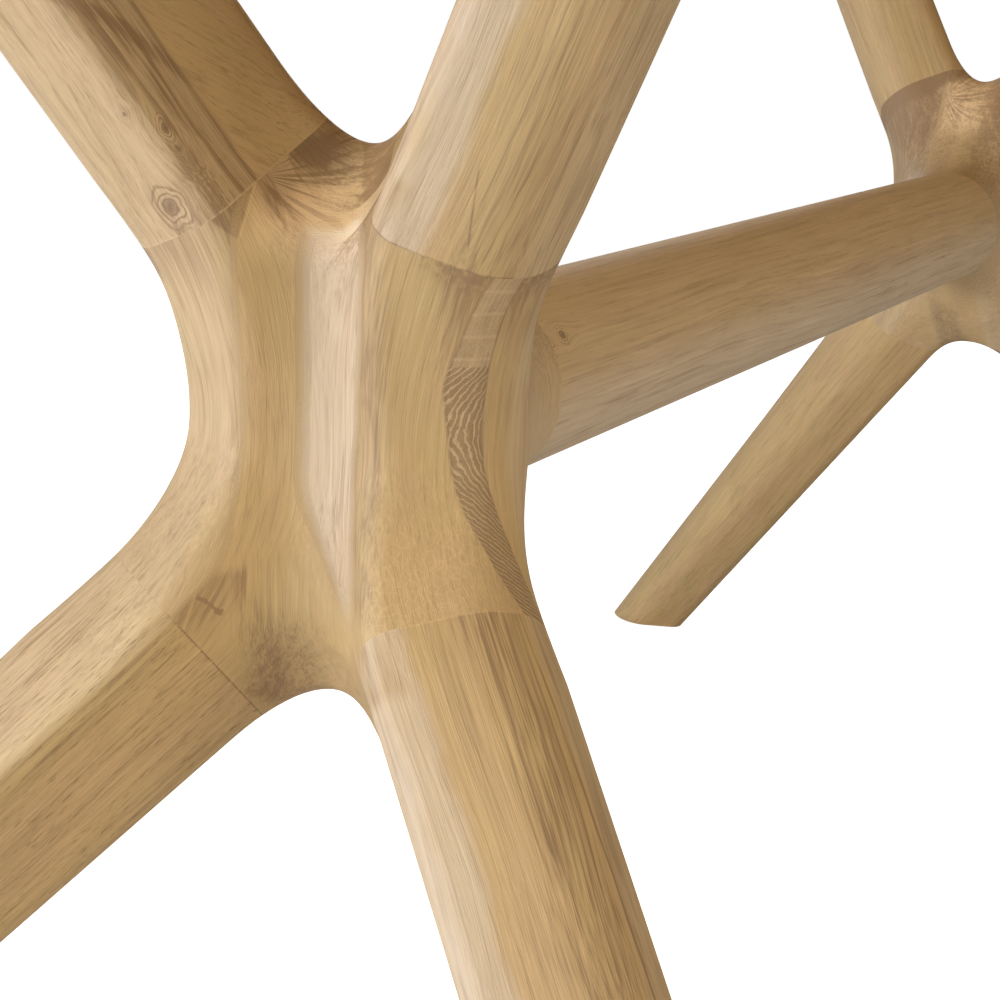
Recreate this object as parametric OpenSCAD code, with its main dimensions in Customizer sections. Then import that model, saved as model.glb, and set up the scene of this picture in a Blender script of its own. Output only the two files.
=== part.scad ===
// Dining table in solid oak. Two sculpted hub blocks, joined by a round beam, each carry
// two upper arms and two legs. A glued plank top lies on steel plates on the upper arms.
// Millimetres, +Z up, length along X. The origin is on the floor under the middle of the top.

/* [Top] */
// Length of the top
top_length = 2000; // [1700:10:2400]
// Width of the top
top_width = 1000; // [860:10:1200]
// Thickness of the top
top_thickness = 40; // [32:1:48]
// Height of the top face above the floor
table_height = 760; // [720:5:800]
// Number of planks glued edge to edge
plank_count = 8; // [6:1:10]
// Corner radius of the top, seen from above
top_corner = 30; // [12:1:60]
// Inset of the bevel under the edge
bevel_in = 14; // [4:1:24]
// Height of the bevel under the edge
bevel_up = 18; // [6:1:24]
// Softening of the upper edge
top_edge = 3; // [1:0.5:6]

/* [Base] */
// Distance between the middles of the two hubs
hub_spacing = 870; // [800:10:1000]
// Height of the middle of the hubs above the floor
hub_height = 360; // [340:5:380]
// Radius of the beam
beam_radius = 31.5; // [26:0.5:34]
// Distance from the middle of a hub to the beam's glue joint
beam_joint = 88; // [84:1:110]
// Radius by which the beam flows into the hub, as a blend width
beam_blend = 47; // [30:1:55]

/* [Bent sides of the hub] */
// Outward place of each side's middle line at the waist
waist_out = -10; // [-14:1:0]
// Sideways place of each side's middle line at the waist
waist_side = 14.5; // [12:0.5:17]
// Turn of the section at the waist
waist_turn = -29; // [-34:1:-20]
// Growth of the half depth at the waist
waist_depth = 4.5; // [2:0.5:7]
// Narrowing of the half width at the waist
waist_narrow = 7.5; // [5:0.5:9]
// Height over which the waist's section turns into the arms' sections
waist_reach = 55; // [45:1:65]
// Blend width between the two sides at the waist
valley_blend = 20; // [14:1:30]
// Blend width between the two sides in the crotches
crotch_blend = 50; // [40:1:56]
// Height at which the valley's blend becomes the crotches' blend
valley_reach = 60; // [50:1:70]

/* [Upper arms] */
// Height of the glue joint above the hub's middle, on the arm's middle line
up_joint = 68; // [64:1:76]
// Slope outward that the arm's middle line tends to
up_out_slope = 0.75; // [0.6:0.01:0.85]
// Softness of the bend outward
up_out_bend = 70; // [55:1:85]
// Slope sideways that the arm's middle line tends to
up_side_slope = 0.67; // [0.6:0.01:0.75]
// Softness of the bend sideways
up_side_bend = 25.5; // [20:0.5:32]
// Half depth of the arm
up_depth = 28; // [25:0.5:31]
// Half width of the arm
up_width = 30; // [27:0.5:33]
// Loss of half width for each millimetre of height
up_width_taper = 0.0055; // [0:0.0005:0.02]
// Turn of the arm's section about its middle line
up_turn = -10; // [-16:1:-4]
// Corner radii: inner front, outer front, inner back, outer back
up_corners = [6.5, 28, 14.5, 30]; // [2:0.5:32]

/* [Legs] */
// Depth of the glue joint below the hub's middle, on the leg's middle line
low_joint = 63; // [60:1:70]
// Slope outward that the leg's middle line tends to
low_out_slope = 0.98; // [0.85:0.01:1.1]
// Softness of the bend outward
low_out_bend = 46; // [38:1:54]
// Slope sideways that the leg's middle line tends to
low_side_slope = 1.12; // [1:0.01:1.2]
// Softness of the bend sideways
low_side_bend = 64; // [56:1:72]
// Half depth of the leg
low_depth = 31.5; // [29:0.5:33]
// Loss of half depth for each millimetre of height
low_depth_taper = 0.043; // [0.02:0.001:0.045]
// Half width of the leg
low_width = 32; // [29:0.5:34]
// Loss of half width for each millimetre of height
low_width_taper = 0.015; // [0:0.001:0.02]
// Turn of the leg's section about its middle line
low_turn = -24.5; // [-30:0.5:-18]
// Corner radii: inner front, outer front, inner back, outer back
low_corners = [6.5, 28, 10, 30]; // [2:0.5:32]

/* [Dowels] */
// Diameter of the dowels in the glue joints
dowel_d = 12; // [8:1:14]
// Length of a dowel on each side of its joint
dowel_reach = 34; // [25:1:40]
// Distance of a dowel from the middle of its joint
dowel_offset = 13; // [10:0.5:15]
// Glue gap round a dowel
dowel_gap = 0.1; // [0.05:0.05:0.2]

/* [Top fixing] */
// Thickness of the steel plates on the upper arms
plate_t = 5; // [4:0.5:8]
// Length of a steel plate, along the table
plate_length = 150; // [140:1:170]
// Width of a steel plate
plate_width = 56; // [46:1:64]
// Corner radius of a steel plate
plate_corner = 8; // [3:1:12]
// Distance between the two bolts of a plate
bolt_spacing = 124; // [118:1:130]
// Thread diameter of the bolts
bolt_d = 8; // [6:1:8]
// Length of a bolt's shank
bolt_length = 20; // [16:1:22]
// Clearance round a bolt in its plate
bolt_gap = 0.5; // [0.3:0.1:1]
// Outer diameter of the threaded inserts in the top
insert_d = 12; // [10:0.5:14]
// Length of the threaded inserts
insert_length = 18; // [16:1:22]
// Diameter of the plate's wood screws
screw_d = 5; // [4:0.5:6]
// Length of the plate's wood screws
screw_length = 36; // [25:1:40]
// Distance of the two wood screws from each other
screw_spacing = 26; // [20:1:30]
// Shift of the wood screws towards the hub
screw_inset = 12; // [6:1:16]

/* [Feet] */
// Height that a glide stands proud of its foot
glide_proud = 2; // [1:0.5:4]
// Diameter of a glide
glide_d = 24; // [16:1:26]
// Depth of a glide's recess in the foot
glide_recess = 3; // [2:0.5:6]
// Diameter of a glide's nail
nail_d = 3; // [2:0.5:4]
// Length of a glide's nail in the foot
nail_length = 16; // [10:1:18]

/* [Hidden] */

underside = table_height - top_thickness;
plank_w = top_width / plank_count;
ends = [["front", -1], ["rear", 1]];
sides = [["left", 1], ["right", -1]];
// Smallest softening where the beam's field ends inside the hub
beam_end_blend = 10;
// Extra length of solids that are cut flat afterwards
cut_margin = 14;
// Range in which the hub's surface is searched, from the heart
reach_least = 5;
reach_most = 2 * beam_joint;
// Range in which a ring's surface is searched, inside and outside the plain section
ring_inside = 1;
ring_outside = cut_margin;
// Steps round the hub and from pole to pole
hub_around = 64;
hub_along = 30;
// Points on each rounded corner of an arm's section
corner_steps = 8;
// Distances from the joint of an arm's rings, where it flows out of the hub
root_rings = [0, 7, 14, 22, 32, 46];
// Halvings in each search for the surface
halvings = 13;
// Drilled depth past the end of a dowel or a shank
drill_over = 1;
// Length by which a cutter passes the face that it cuts
cut_over = 1;
// Sizes of the blocks that cut solids flat
block = 400;
joint_block = 200;
// Steps of the softened upper edge of the top
edge_steps = 3;
// Head sizes of the bolts and wood screws, from their diameters
bolt_head_d = 1.625 * bolt_d;
bolt_head_h = bolt_d;
socket_d = 0.85 * bolt_d;
socket_h = bolt_head_h / 2;
screw_head_d = 2 * screw_d;
screw_head_h = screw_head_d / 4;
// Head of a glide's nail, and the counterbore that it sits in
nail_head_d = 2.2 * nail_d;
nail_head_h = 0.6;
nail_sink_d = 2.4 * nail_d;
nail_sink = 1;
// Facets of small round pieces and of the beam
round_fn = 48;
beam_fn = 96;

oak = "#c9a877";
oak_pale = "#d6b98b";
oak_deep = "#b8925f";

// Least of two distances, rounded where they differ by less than k
function smooth_min(a, b, k) = min(a, b) - pow(max(k - abs(a - b), 0), 2) / (4 * k);

// Middle line of one bent side at height w from the hub's middle. It leaves the waist
// upright and follows a hyperbola, then runs straight beyond the glue joint.
// Gives [outward, sideways, slope outward, slope sideways].
function middle_line(w) = let (
    up = w > 0,
    a = up ? up_out_slope : low_out_slope,
    b = up ? up_side_slope : low_side_slope,
    e = up ? up_out_bend : low_out_bend,
    f = up ? up_side_bend : low_side_bend,
    c = min(abs(w), up ? up_joint : low_joint),
    past = abs(w) - c,
    p = sqrt(a * a * c * c + e * e),
    q = sqrt(b * b * c * c + f * f),
    da = a * a * c / p,
    db = b * b * c / q,
    s = up ? 1 : -1)
    [waist_out + p - e + da * past, waist_side + q - f + db * past, s * da, s * db];

// Section of a bent side at height w: [half depth, half width, turn, four corner radii]
function section_at(w) = let (
    up = w > 0,
    c = min(abs(w), up ? up_joint : low_joint),
    t = (up ? 1 : -1) * c / sqrt(c * c + waist_reach * waist_reach),
    near = 1 / (1 + pow(c / waist_reach, 2)),
    half_up = (1 + t) / 2,
    half_low = (1 - t) / 2,
    loss_d = up ? 0 : low_depth_taper * abs(w),
    loss_w = (up ? up_width_taper : low_width_taper) * abs(w))
    [half_up * up_depth + half_low * low_depth + near * waist_depth - loss_d,
     half_up * up_width + half_low * low_width - near * waist_narrow - loss_w,
     half_up * up_turn + half_low * low_turn + near * waist_turn,
     half_up * up_corners + half_low * low_corners];

// Square frame of a bent side where its middle line has slopes m[2], m[3]:
// [along, to the front, towards the mirror plane]
function side_frame(m) = let (
    n = sqrt(m[2] * m[2] + m[3] * m[3] + 1),
    d = [m[2], m[3], 1] / n,
    l = sqrt(1 - d[0] * d[0]))
    [d, [l, -d[0] * d[1] / l, -d[0] * d[2] / l], [0, -d[2] / l, d[1] / l]];

// Distance to a rectangle of half sizes a, b with its own radius at each corner
function rounded_box(x, y, a, b, radii) = let (
    r0 = x > 0 ? (y > 0 ? radii[0] : radii[1]) : (y > 0 ? radii[2] : radii[3]),
    r = min(r0, a, b),
    p = abs(x) - a + r,
    q = abs(y) - b + r)
    min(max(p, q), 0) + sqrt(pow(max(p, 0), 2) + pow(max(q, 0), 2)) - r;

// Distance to one bent side
function side_distance(u, v, w) = let (
    m = middle_line(w),
    g = side_frame(m),
    s = section_at(w),
    x = (u - m[0]) * g[1][0] + (v - m[1]) * g[1][1],
    y = (v - m[1]) * g[2][1],
    c = cos(s[2]),
    n = sin(s[2]))
    rounded_box(c * x + n * y, c * y - n * x, s[0], s[1], s[3]);

// Distance to the beam, which ends softly inside the hub
function beam_distance(u, v, w) =
    -smooth_min(beam_radius - sqrt(v * v + w * w), -u, beam_end_blend);

// Distance to the whole base round one hub: both sides and the beam, blended
function base_distance(p) = let (
    k = crotch_blend + (valley_blend - crotch_blend) / (1 + pow(p[2] / valley_reach, 4)),
    both = smooth_min(side_distance(p[0], p[1], p[2]), side_distance(p[0], -p[1], p[2]), k))
    smooth_min(both, beam_distance(p[0], p[1], p[2]), beam_blend);

// Glue joint of an arm or leg: [point, along, to the front, towards the mirror plane]
function joint_of(up) = let (
    w = up ? up_joint : -low_joint,
    m = middle_line(w),
    g = side_frame(m),
    s = section_at(w),
    c = cos(s[2]),
    n = sin(s[2]))
    [[m[0], m[1], w], (up ? 1 : -1) * g[0], c * g[1] + n * g[2], c * g[2] - n * g[1]];

upper = joint_of(true);
lower = joint_of(false);

// Point inside the hub that sees its whole surface: near it all the middle lines meet
heart = [upper[0][0] - upper[1][0] / upper[1][2] * up_joint, 0, 0];

// As base_distance, cut a little beyond the glue joints
function hub_distance(p) = let (q = [p[0], abs(p[1]), p[2]])
    max(base_distance(p),
        (q - upper[0]) * upper[1] - cut_margin,
        (q - lower[0]) * lower[1] - cut_margin,
        -p[0] - beam_joint - cut_margin);

// Distance from the heart to the hub's surface in direction d
function hub_reach(d, low, high, n) = n == 0 ? (low + high) / 2 :
    let (mid = (low + high) / 2)
    hub_distance(heart + mid * d) < 0 ? hub_reach(d, mid, high, n - 1)
                                      : hub_reach(d, low, mid, n - 1);

// Point on the hub's surface in direction d from the heart
function on_hub(d) = heart + hub_reach(d, reach_least, reach_most, halvings) * d;

// Distance from the middle of a ring to the base's surface in direction d
function ring_reach(c, d, low, high, n) = n == 0 ? (low + high) / 2 :
    let (mid = (low + high) / 2)
    base_distance(c + mid * d) < 0 ? ring_reach(c, d, mid, high, n - 1)
                                   : ring_reach(c, d, low, mid, n - 1);

// Outline of a section s as points [depth, width], corner by corner
function outline(s) = [
    for (k = [0 : 3]) let (
        sx = (k == 0 || k == 3) ? 1 : -1,
        sy = (k < 2) ? 1 : -1,
        r = min(s[3][[0, 2, 3, 1][k]], s[0], s[1]))
    for (i = [0 : corner_steps]) let (a = 90 * (k + i / corner_steps))
        [sx * (s[0] - r) + r * cos(a), sy * (s[1] - r) + r * sin(a)]];

// Ring of an arm or leg at distance t from its joint
function arm_ring(j, t, blended) = let (
    c = j[0] + t * j[1],
    s = section_at(c[2]))
    [for (p = outline(s)) let (
        far = norm(p),
        d = (p[0] * j[2] + p[1] * j[3]) / far)
        c + (blended ? ring_reach(c, d, far - ring_inside, far + ring_outside, halvings) : far) * d];

// Solid through rings of equal count, closed flat at both ends. The rings' points run
// anticlockwise about the way from ring to ring, or clockwise where turned is true.
module ring_solid(rings, turned) {
    n = len(rings[0]);
    last = len(rings) - 1;
    sides_f = [for (i = [0 : last - 1]) for (k = [0 : n - 1]) let (k2 = (k + 1) % n)
        each [[i * n + k, (i + 1) * n + k, (i + 1) * n + k2], [i * n + k, (i + 1) * n + k2, i * n + k2]]];
    caps = [[for (k = [0 : n - 1]) k], [for (k = [n - 1 : -1 : 0]) last * n + k]];
    all_f = concat(sides_f, caps);
    polyhedron([for (r = rings) each r],
        turned ? [for (f = all_f) [for (k = [len(f) - 1 : -1 : 0]) f[k]]] : all_f, convexity = 4);
}

// Puts a piece that is made for the rear left quarter at one of the four quarters
module at_quarter(end, side) {
    translate([end * hub_spacing / 2, 0, hub_height])
        mirror([end < 0 ? 1 : 0, 0, 0]) mirror([0, side < 0 ? 1 : 0, 0]) children();
}

// Turns +Z into direction d at point c
module along(c, d) {
    translate(c) rotate([0, acos(d[2] / norm(d)), atan2(d[1], d[0])]) children();
}

// Dowels of one arm joint, or their bores
module joint_dowels(j, grow) {
    for (s = [-1, 1]) along(j[0] + s * dowel_offset * j[2], j[1])
        cylinder(d = dowel_d + 2 * grow, h = 2 * (dowel_reach + (grow > 0 ? drill_over : 0)),
            center = true, $fn = round_fn);
}

// Dowels of one beam joint, or their bores, in the hub's own frame
module beam_joint_dowels(grow) {
    for (s = [-1, 1]) translate([-beam_joint, 0, s * dowel_offset]) rotate([0, 90, 0])
        cylinder(d = dowel_d + 2 * grow, h = 2 * (dowel_reach + (grow > 0 ? drill_over : 0)),
            center = true, $fn = round_fn);
}

module hub_blank() {
    tops = [for (i = [1 : hub_along - 1]) for (k = [0 : hub_around - 1]) let (
        polar = 180 * i / hub_along,
        turn = 360 * k / hub_around,
        d = [cos(polar), sin(polar) * sin(turn), sin(polar) * cos(turn)])
        on_hub(d)];
    n = hub_around;
    m = n * (hub_along - 1);
    bands = [for (i = [0 : hub_along - 3]) for (k = [0 : n - 1]) let (k2 = (k + 1) % n)
        each [[i * n + k, (i + 1) * n + k, (i + 1) * n + k2], [i * n + k, (i + 1) * n + k2, i * n + k2]]];
    caps = [for (k = [0 : n - 1]) let (k2 = (k + 1) % n)
        each [[m, k, k2], [m + 1, m - n + k2, m - n + k]]];
    polyhedron(concat(tops, [on_hub([1, 0, 0]), on_hub([-1, 0, 0])]), concat(bands, caps), convexity = 6);
}

module hub(end) {
    color(oak_pale) at_quarter(end, 1) difference() {
        hub_blank();
        for (s = [0, 1]) mirror([0, s, 0]) for (j = [upper, lower]) {
            along(j[0], j[1]) translate([-joint_block / 2, -joint_block / 2, 0])
                cube([joint_block, joint_block, joint_block / 2]);
            joint_dowels(j, dowel_gap);
        }
        translate([-beam_joint - block, -block / 2, -block / 2]) cube([block, block, block]);
        beam_joint_dowels(dowel_gap);
    }
}

module beam() {
    length = hub_spacing - 2 * beam_joint;
    color(oak) difference() {
        translate([0, 0, hub_height]) rotate([0, 90, 0])
            cylinder(r = beam_radius, h = length, center = true, $fn = beam_fn);
        for (e = [-1, 1]) at_quarter(e, 1) beam_joint_dowels(dowel_gap);
    }
}

// Arm or leg in the hub's frame, as far as the level z = stop above the hub's middle
module arm_blank(j, stop) {
    run = (abs(stop - j[0][2]) + 3 * cut_margin) / abs(j[1][2]);
    rings = concat([for (t = root_rings) arm_ring(j, t, true)], [arm_ring(j, run, false)]);
    difference() {
        ring_solid(rings, stop > 0);
        translate([-2 * block, -2 * block, stop > 0 ? stop : stop - block])
            cube([4 * block, 4 * block, block]);
    }
}

arm_top = underside - plate_t - hub_height;
foot_bottom = glide_proud - hub_height;

// Middle of an arm's end and of a foot, in the hub's frame
function line_point(w) = let (m = middle_line(w)) [m[0], m[1], w];
arm_end = line_point(arm_top);
foot = line_point(foot_bottom);
lean = [upper[1][0], upper[1][1], 0] / norm([upper[1][0], upper[1][1]]);
across = [-lean[1], lean[0], 0];

module screw_places() {
    for (s = [-1, 1]) translate(arm_end - screw_inset * lean + s * screw_spacing / 2 * across) children();
}

module bolt_places() {
    for (s = [-1, 1]) translate(arm_end + [s * bolt_spacing / 2, 0, 0]) children();
}

module upper_arm(end, side) {
    color(oak) at_quarter(end, side) difference() {
        arm_blank(upper, arm_top);
        joint_dowels(upper, dowel_gap);
        screw_places() translate([0, 0, plate_t - screw_length - drill_over])
            cylinder(d = screw_d, h = screw_length, $fn = round_fn);
    }
}

module leg(end, side) {
    color(oak) at_quarter(end, side) difference() {
        arm_blank(lower, foot_bottom);
        joint_dowels(lower, dowel_gap);
        translate(foot) {
            translate([0, 0, -block]) cylinder(d = glide_d, h = block + glide_recess, $fn = round_fn);
            cylinder(d = nail_d, h = glide_recess + nail_length, $fn = round_fn);
        }
    }
}

module arm_dowels(end) {
    color(oak_deep) for (s = sides) at_quarter(end, s[1]) {
        joint_dowels(upper, 0);
        joint_dowels(lower, 0);
    }
}

module beam_dowels() {
    color(oak_deep) for (e = ends) at_quarter(e[1], 1) beam_joint_dowels(0);
}

// Outline of the top at level z, drawn in by inset
function top_ring(inset, z) = let (r = top_corner - inset / 2)
    [for (p = outline([top_length / 2 - inset, top_width / 2 - inset, 0, [r, r, r, r]])) [p[0], p[1], z]];

module top_body() {
    soft = [for (i = [0 : edge_steps]) let (a = 90 * i / edge_steps)
        top_ring(top_edge * (1 - cos(a)), table_height - top_edge * (1 - sin(a)))];
    ring_solid(concat([top_ring(bevel_in, underside), top_ring(0, underside + bevel_up)], soft), false);
}

module top_plank(i) {
    color(i % 2 == 0 ? oak_pale : oak) difference() {
        intersection() {
            top_body();
            translate([-top_length, -top_width / 2 + (i - 1) * plank_w, underside - block / 2])
                cube([2 * top_length, plank_w, block]);
        }
        for (e = ends) for (s = sides) at_quarter(e[1], s[1]) bolt_places()
            translate([0, 0, plate_t]) cylinder(d = insert_d, h = insert_length + drill_over, $fn = round_fn);
    }
}

module top_plate(end, side) {
    color("#2b2b2c") at_quarter(end, side) difference() {
        translate(arm_end) linear_extrude(plate_t) hull() for (x = [-1, 1]) for (y = [-1, 1])
            translate([x * (plate_length / 2 - plate_corner), y * (plate_width / 2 - plate_corner)])
                circle(r = plate_corner, $fn = round_fn);
        bolt_places() translate([0, 0, -cut_over])
            cylinder(d = bolt_d + 2 * bolt_gap, h = plate_t + 2 * cut_over, $fn = round_fn);
        screw_places() {
            translate([0, 0, -cut_over]) cylinder(d = screw_d, h = plate_t + 2 * cut_over, $fn = round_fn);
            screw_head();
        }
    }
}

// Countersunk head of a wood screw, level with the plate's upper face
module screw_head() {
    translate([0, 0, plate_t - screw_head_h])
        cylinder(d1 = screw_d, d2 = screw_head_d, h = screw_head_h, $fn = round_fn);
}

module plate_screws() {
    color("#8d8e90") for (e = ends) for (s = sides) at_quarter(e[1], s[1]) screw_places() {
        screw_head();
        translate([0, 0, plate_t - screw_length])
            cylinder(d = screw_d, h = screw_length - screw_head_h, $fn = round_fn);
    }
}

module top_bolts() {
    color("#3a3a3c") for (e = ends) for (s = sides) at_quarter(e[1], s[1]) bolt_places() difference() {
        union() {
            cylinder(d = bolt_d, h = bolt_length, $fn = round_fn);
            translate([0, 0, -bolt_head_h]) cylinder(d = bolt_head_d, h = bolt_head_h, $fn = round_fn);
        }
        translate([0, 0, -bolt_head_h - cut_over]) cylinder(d = socket_d, h = socket_h + cut_over, $fn = 6);
    }
}

module threaded_inserts() {
    color("#9b8a55") for (e = ends) for (s = sides) at_quarter(e[1], s[1]) bolt_places() difference() {
        translate([0, 0, plate_t]) cylinder(d = insert_d, h = insert_length, $fn = round_fn);
        translate([0, 0, plate_t - cut_over])
            cylinder(d = bolt_d, h = insert_length + 2 * cut_over, $fn = round_fn);
    }
}

module glide(end, side) {
    color("#4a4038") at_quarter(end, side) translate(foot) difference() {
        translate([0, 0, -glide_proud]) cylinder(d = glide_d, h = glide_proud + glide_recess, $fn = round_fn);
        translate([0, 0, -glide_proud - cut_over]) {
            cylinder(d = nail_d, h = glide_proud + glide_recess + 2 * cut_over, $fn = round_fn);
            cylinder(d = nail_sink_d, h = nail_sink + cut_over, $fn = round_fn);
        }
    }
}

module glide_nails() {
    color("#8d8e90") for (e = ends) for (s = sides) at_quarter(e[1], s[1]) translate(foot) {
        translate([0, 0, nail_sink - glide_proud])
            cylinder(d = nail_d, h = glide_recess + nail_length + glide_proud - nail_sink, $fn = round_fn);
        translate([0, 0, nail_sink - nail_head_h - glide_proud])
            cylinder(d = nail_head_d, h = nail_head_h, $fn = round_fn);
    }
}

for (i = [1 : plank_count]) top_plank(i);
for (e = ends) hub(e[1]);
beam();
for (e = ends) for (s = sides) {
    place = str(e[0], "_", s[0]);
    upper_arm(e[1], s[1]);
    leg(e[1], s[1]);
    top_plate(e[1], s[1]);
    glide(e[1], s[1]);
}
for (e = ends) arm_dowels(e[1]);
beam_dowels();
plate_screws();
top_bolts();
threaded_inserts();
glide_nails();
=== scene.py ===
"""Dining table in matte oiled oak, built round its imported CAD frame.

Two sculpted hub blocks, joined by a round beam, carry two upper arms and two legs each. The
visible wood is worked out with numpy from the same named sizes and the same field of blended
distances as the solids. Metres, +Z up, length along X, the origin on the floor.
"""

import math

import bmesh
import bpy
import numpy as np
from bpy.props import FloatProperty, FloatVectorProperty, IntProperty, PointerProperty
from mathutils import Matrix, Vector


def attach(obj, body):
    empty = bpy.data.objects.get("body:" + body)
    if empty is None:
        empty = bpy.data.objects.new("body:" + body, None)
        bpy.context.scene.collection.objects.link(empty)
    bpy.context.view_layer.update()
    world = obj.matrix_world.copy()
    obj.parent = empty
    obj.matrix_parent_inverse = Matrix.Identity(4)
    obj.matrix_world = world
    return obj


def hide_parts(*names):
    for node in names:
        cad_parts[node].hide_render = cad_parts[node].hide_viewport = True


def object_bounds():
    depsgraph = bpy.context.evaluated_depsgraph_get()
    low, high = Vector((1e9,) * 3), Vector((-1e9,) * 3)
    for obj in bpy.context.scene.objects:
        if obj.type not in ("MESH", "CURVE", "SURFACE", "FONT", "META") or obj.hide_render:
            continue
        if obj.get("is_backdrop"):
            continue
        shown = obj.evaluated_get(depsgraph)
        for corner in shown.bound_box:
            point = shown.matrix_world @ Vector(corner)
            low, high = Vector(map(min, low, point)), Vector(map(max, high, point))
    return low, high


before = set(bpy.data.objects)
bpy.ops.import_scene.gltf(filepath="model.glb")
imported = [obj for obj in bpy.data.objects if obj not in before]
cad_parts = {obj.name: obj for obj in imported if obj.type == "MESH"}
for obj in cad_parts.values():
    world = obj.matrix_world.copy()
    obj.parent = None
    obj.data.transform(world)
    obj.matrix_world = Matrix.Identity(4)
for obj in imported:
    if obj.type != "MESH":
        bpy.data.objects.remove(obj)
CAD_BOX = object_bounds()

bl_info = {
    "name": "Sculpted oak dining table",
    "version": (1, 0, 0),
    "blender": (4, 5, 0),
    "location": "View3D > Sidebar > Oak table",
    "description": "Builds an oak table with sculpted hubs, arms, legs, a round beam and a plank top",
    "category": "Add Mesh",
}

ENDS = (("front", -1), ("rear", 1))
SIDES = (("left", 1), ("right", -1))
QUARTERS = [(f"{end}_{side}", e, s) for end, e in ENDS for side, s in SIDES]

# Bent sides of the hub: how the middle line and the section of the upper arms and of the legs
# run. corners: radii of the inner front, outer front, inner back and outer back corner.
UPPER = dict(joint=0.068, out_slope=0.75, out_bend=0.070, side_slope=0.67, side_bend=0.0255,
             depth=0.028, width=0.030, depth_loss=0.0, width_loss=0.0055, turn=-10.0,
             corners=(0.0065, 0.028, 0.0145, 0.030))
LOWER = dict(joint=0.063, out_slope=0.98, out_bend=0.046, side_slope=1.12, side_bend=0.064,
             depth=0.0315, width=0.032, depth_loss=0.043, width_loss=0.015, turn=-24.5,
             corners=(0.0065, 0.028, 0.010, 0.030))
WAIST = dict(out=-0.010, side=0.0145, turn=-29.0, depth=0.0045, narrow=0.0075, reach=0.055)
VALLEY_BLEND = 0.020
CROTCH_BLEND = 0.050
VALLEY_REACH = 0.060
BEAM_BLEND = 0.047
BEAM_END_BLEND = 0.010
CUT_MARGIN = 0.014

# How finely the surfaces are worked out: halvings of a ray, its limits in the wood, and the
# points round a hub and along each piece. Edges that turn by more than CRISP stay crisp.
HALVINGS = 22
RAY_NEAR = 0.010
RAY_FAR = 0.060
FOOT_FAR = 0.075
HUB_AROUND = 320
HUB_ALONG = 200
ARM_RINGS = 110
LEG_RINGS = 150
BEAM_RINGS = 161
CORNER_STEPS = 12
EDGE_STEPS = 9
CRISP = math.radians(35)

# Wood frame of a piece whose grain runs along the table
LENGTHWAYS = ((0, 1, 0), (0, 0, 1), (1, 0, 0))


def length_setting(name, description, default):
    """Setting in metres."""
    return FloatProperty(name=name, description=description, default=default, unit="LENGTH")


def colour_setting(name, description, default):
    """Setting that is a colour."""
    return FloatVectorProperty(name=name, description=description, subtype="COLOR", default=default)


class BaseSizes(bpy.types.PropertyGroup):
    """Sizes of the base."""
    hub_spacing: length_setting("Hub spacing", "Distance between the hubs' middles", 0.870)
    hub_height: length_setting("Hub height", "Height of the hubs' middles", 0.360)
    beam_radius: length_setting("Beam radius", "Radius of the beam", 0.0315)
    beam_joint: length_setting("Beam joint", "Distance of the beam's joint from a hub's middle", 0.088)
    arm_top: length_setting("Arm top", "Height at which the upper arms are cut level", 0.715)
    foot_bottom: length_setting("Foot bottom", "Height at which the legs are cut level", 0.002)
    glide_radius: length_setting("Glide radius", "Radius of a glide's recess", 0.0121)
    glide_recess: length_setting("Glide recess", "Depth of a glide's recess", 0.003)
    foot_edge: length_setting("Foot edge", "Softening of the edge round a foot", 0.0007)
    around: IntProperty(name="Points round a limb", description="Points round an arm, leg or beam",
                        default=128, min=32)


class TopSizes(bpy.types.PropertyGroup):
    """Sizes of the plank top."""
    length: length_setting("Length", "Length of the top", 2.0)
    width: length_setting("Width", "Width of the top", 1.0)
    thickness: length_setting("Thickness", "Thickness of the top", 0.040)
    height: length_setting("Height", "Height of the top face", 0.760)
    planks: IntProperty(name="Planks", description="Planks glued edge to edge", default=8, min=4)
    corner: length_setting("Corner radius", "Corner radius seen from above", 0.030)
    bevel_in: length_setting("Bevel inset", "Inset of the bevel under the edge", 0.014)
    bevel_up: length_setting("Bevel height", "Height of the bevel under the edge", 0.018)
    edge: length_setting("Upper edge", "Softening of the upper edge", 0.003)


class OakColours(bpy.types.PropertyGroup):
    """Colours of the oiled oak."""
    pale: colour_setting("Pale", "Pale, pinkish wood", (0.70, 0.57, 0.42))
    mid: colour_setting("Middle", "Golden middle tone", (0.64, 0.466, 0.25))
    golden: colour_setting("Golden", "Golden tone of the rear legs", (0.66, 0.47, 0.235))
    deep: colour_setting("Deep", "Brown streaks", (0.37, 0.25, 0.145))
    pore: colour_setting("Pores", "Open pores", (0.30, 0.19, 0.10))
    knot: colour_setting("Knots", "Heart of a knot", (0.27, 0.18, 0.11))


class StageSettings(bpy.types.PropertyGroup):
    """Camera, floor and light."""
    lens: FloatProperty(name="Lens", description="Focal length on a 36 mm sensor",
                        default=85.867, unit="CAMERA")
    camera_place: FloatVectorProperty(name="Camera place", description="Where the camera stands",
                                      default=(-1.05934, -0.30805, 0.48801), subtype="TRANSLATION")
    pitch: FloatProperty(name="Pitch", description="Downward pitch of the view", subtype="ANGLE",
                         default=math.radians(12.0931))
    yaw: FloatProperty(name="Yaw", description="Turn of the view from the table's length", subtype="ANGLE",
                       default=math.radians(22.6374))
    roll: FloatProperty(name="Roll", description="Roll of the view", subtype="ANGLE",
                        default=math.radians(2.0994))
    floor_size: length_setting("Floor size", "Width of the floor", 60.0)
    floor_colour: colour_setting("Floor", "Pale floor", (0.86, 0.86, 0.86))
    sky: FloatProperty(name="Room light", description="Strength of the pale room's light", default=0.06)


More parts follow.
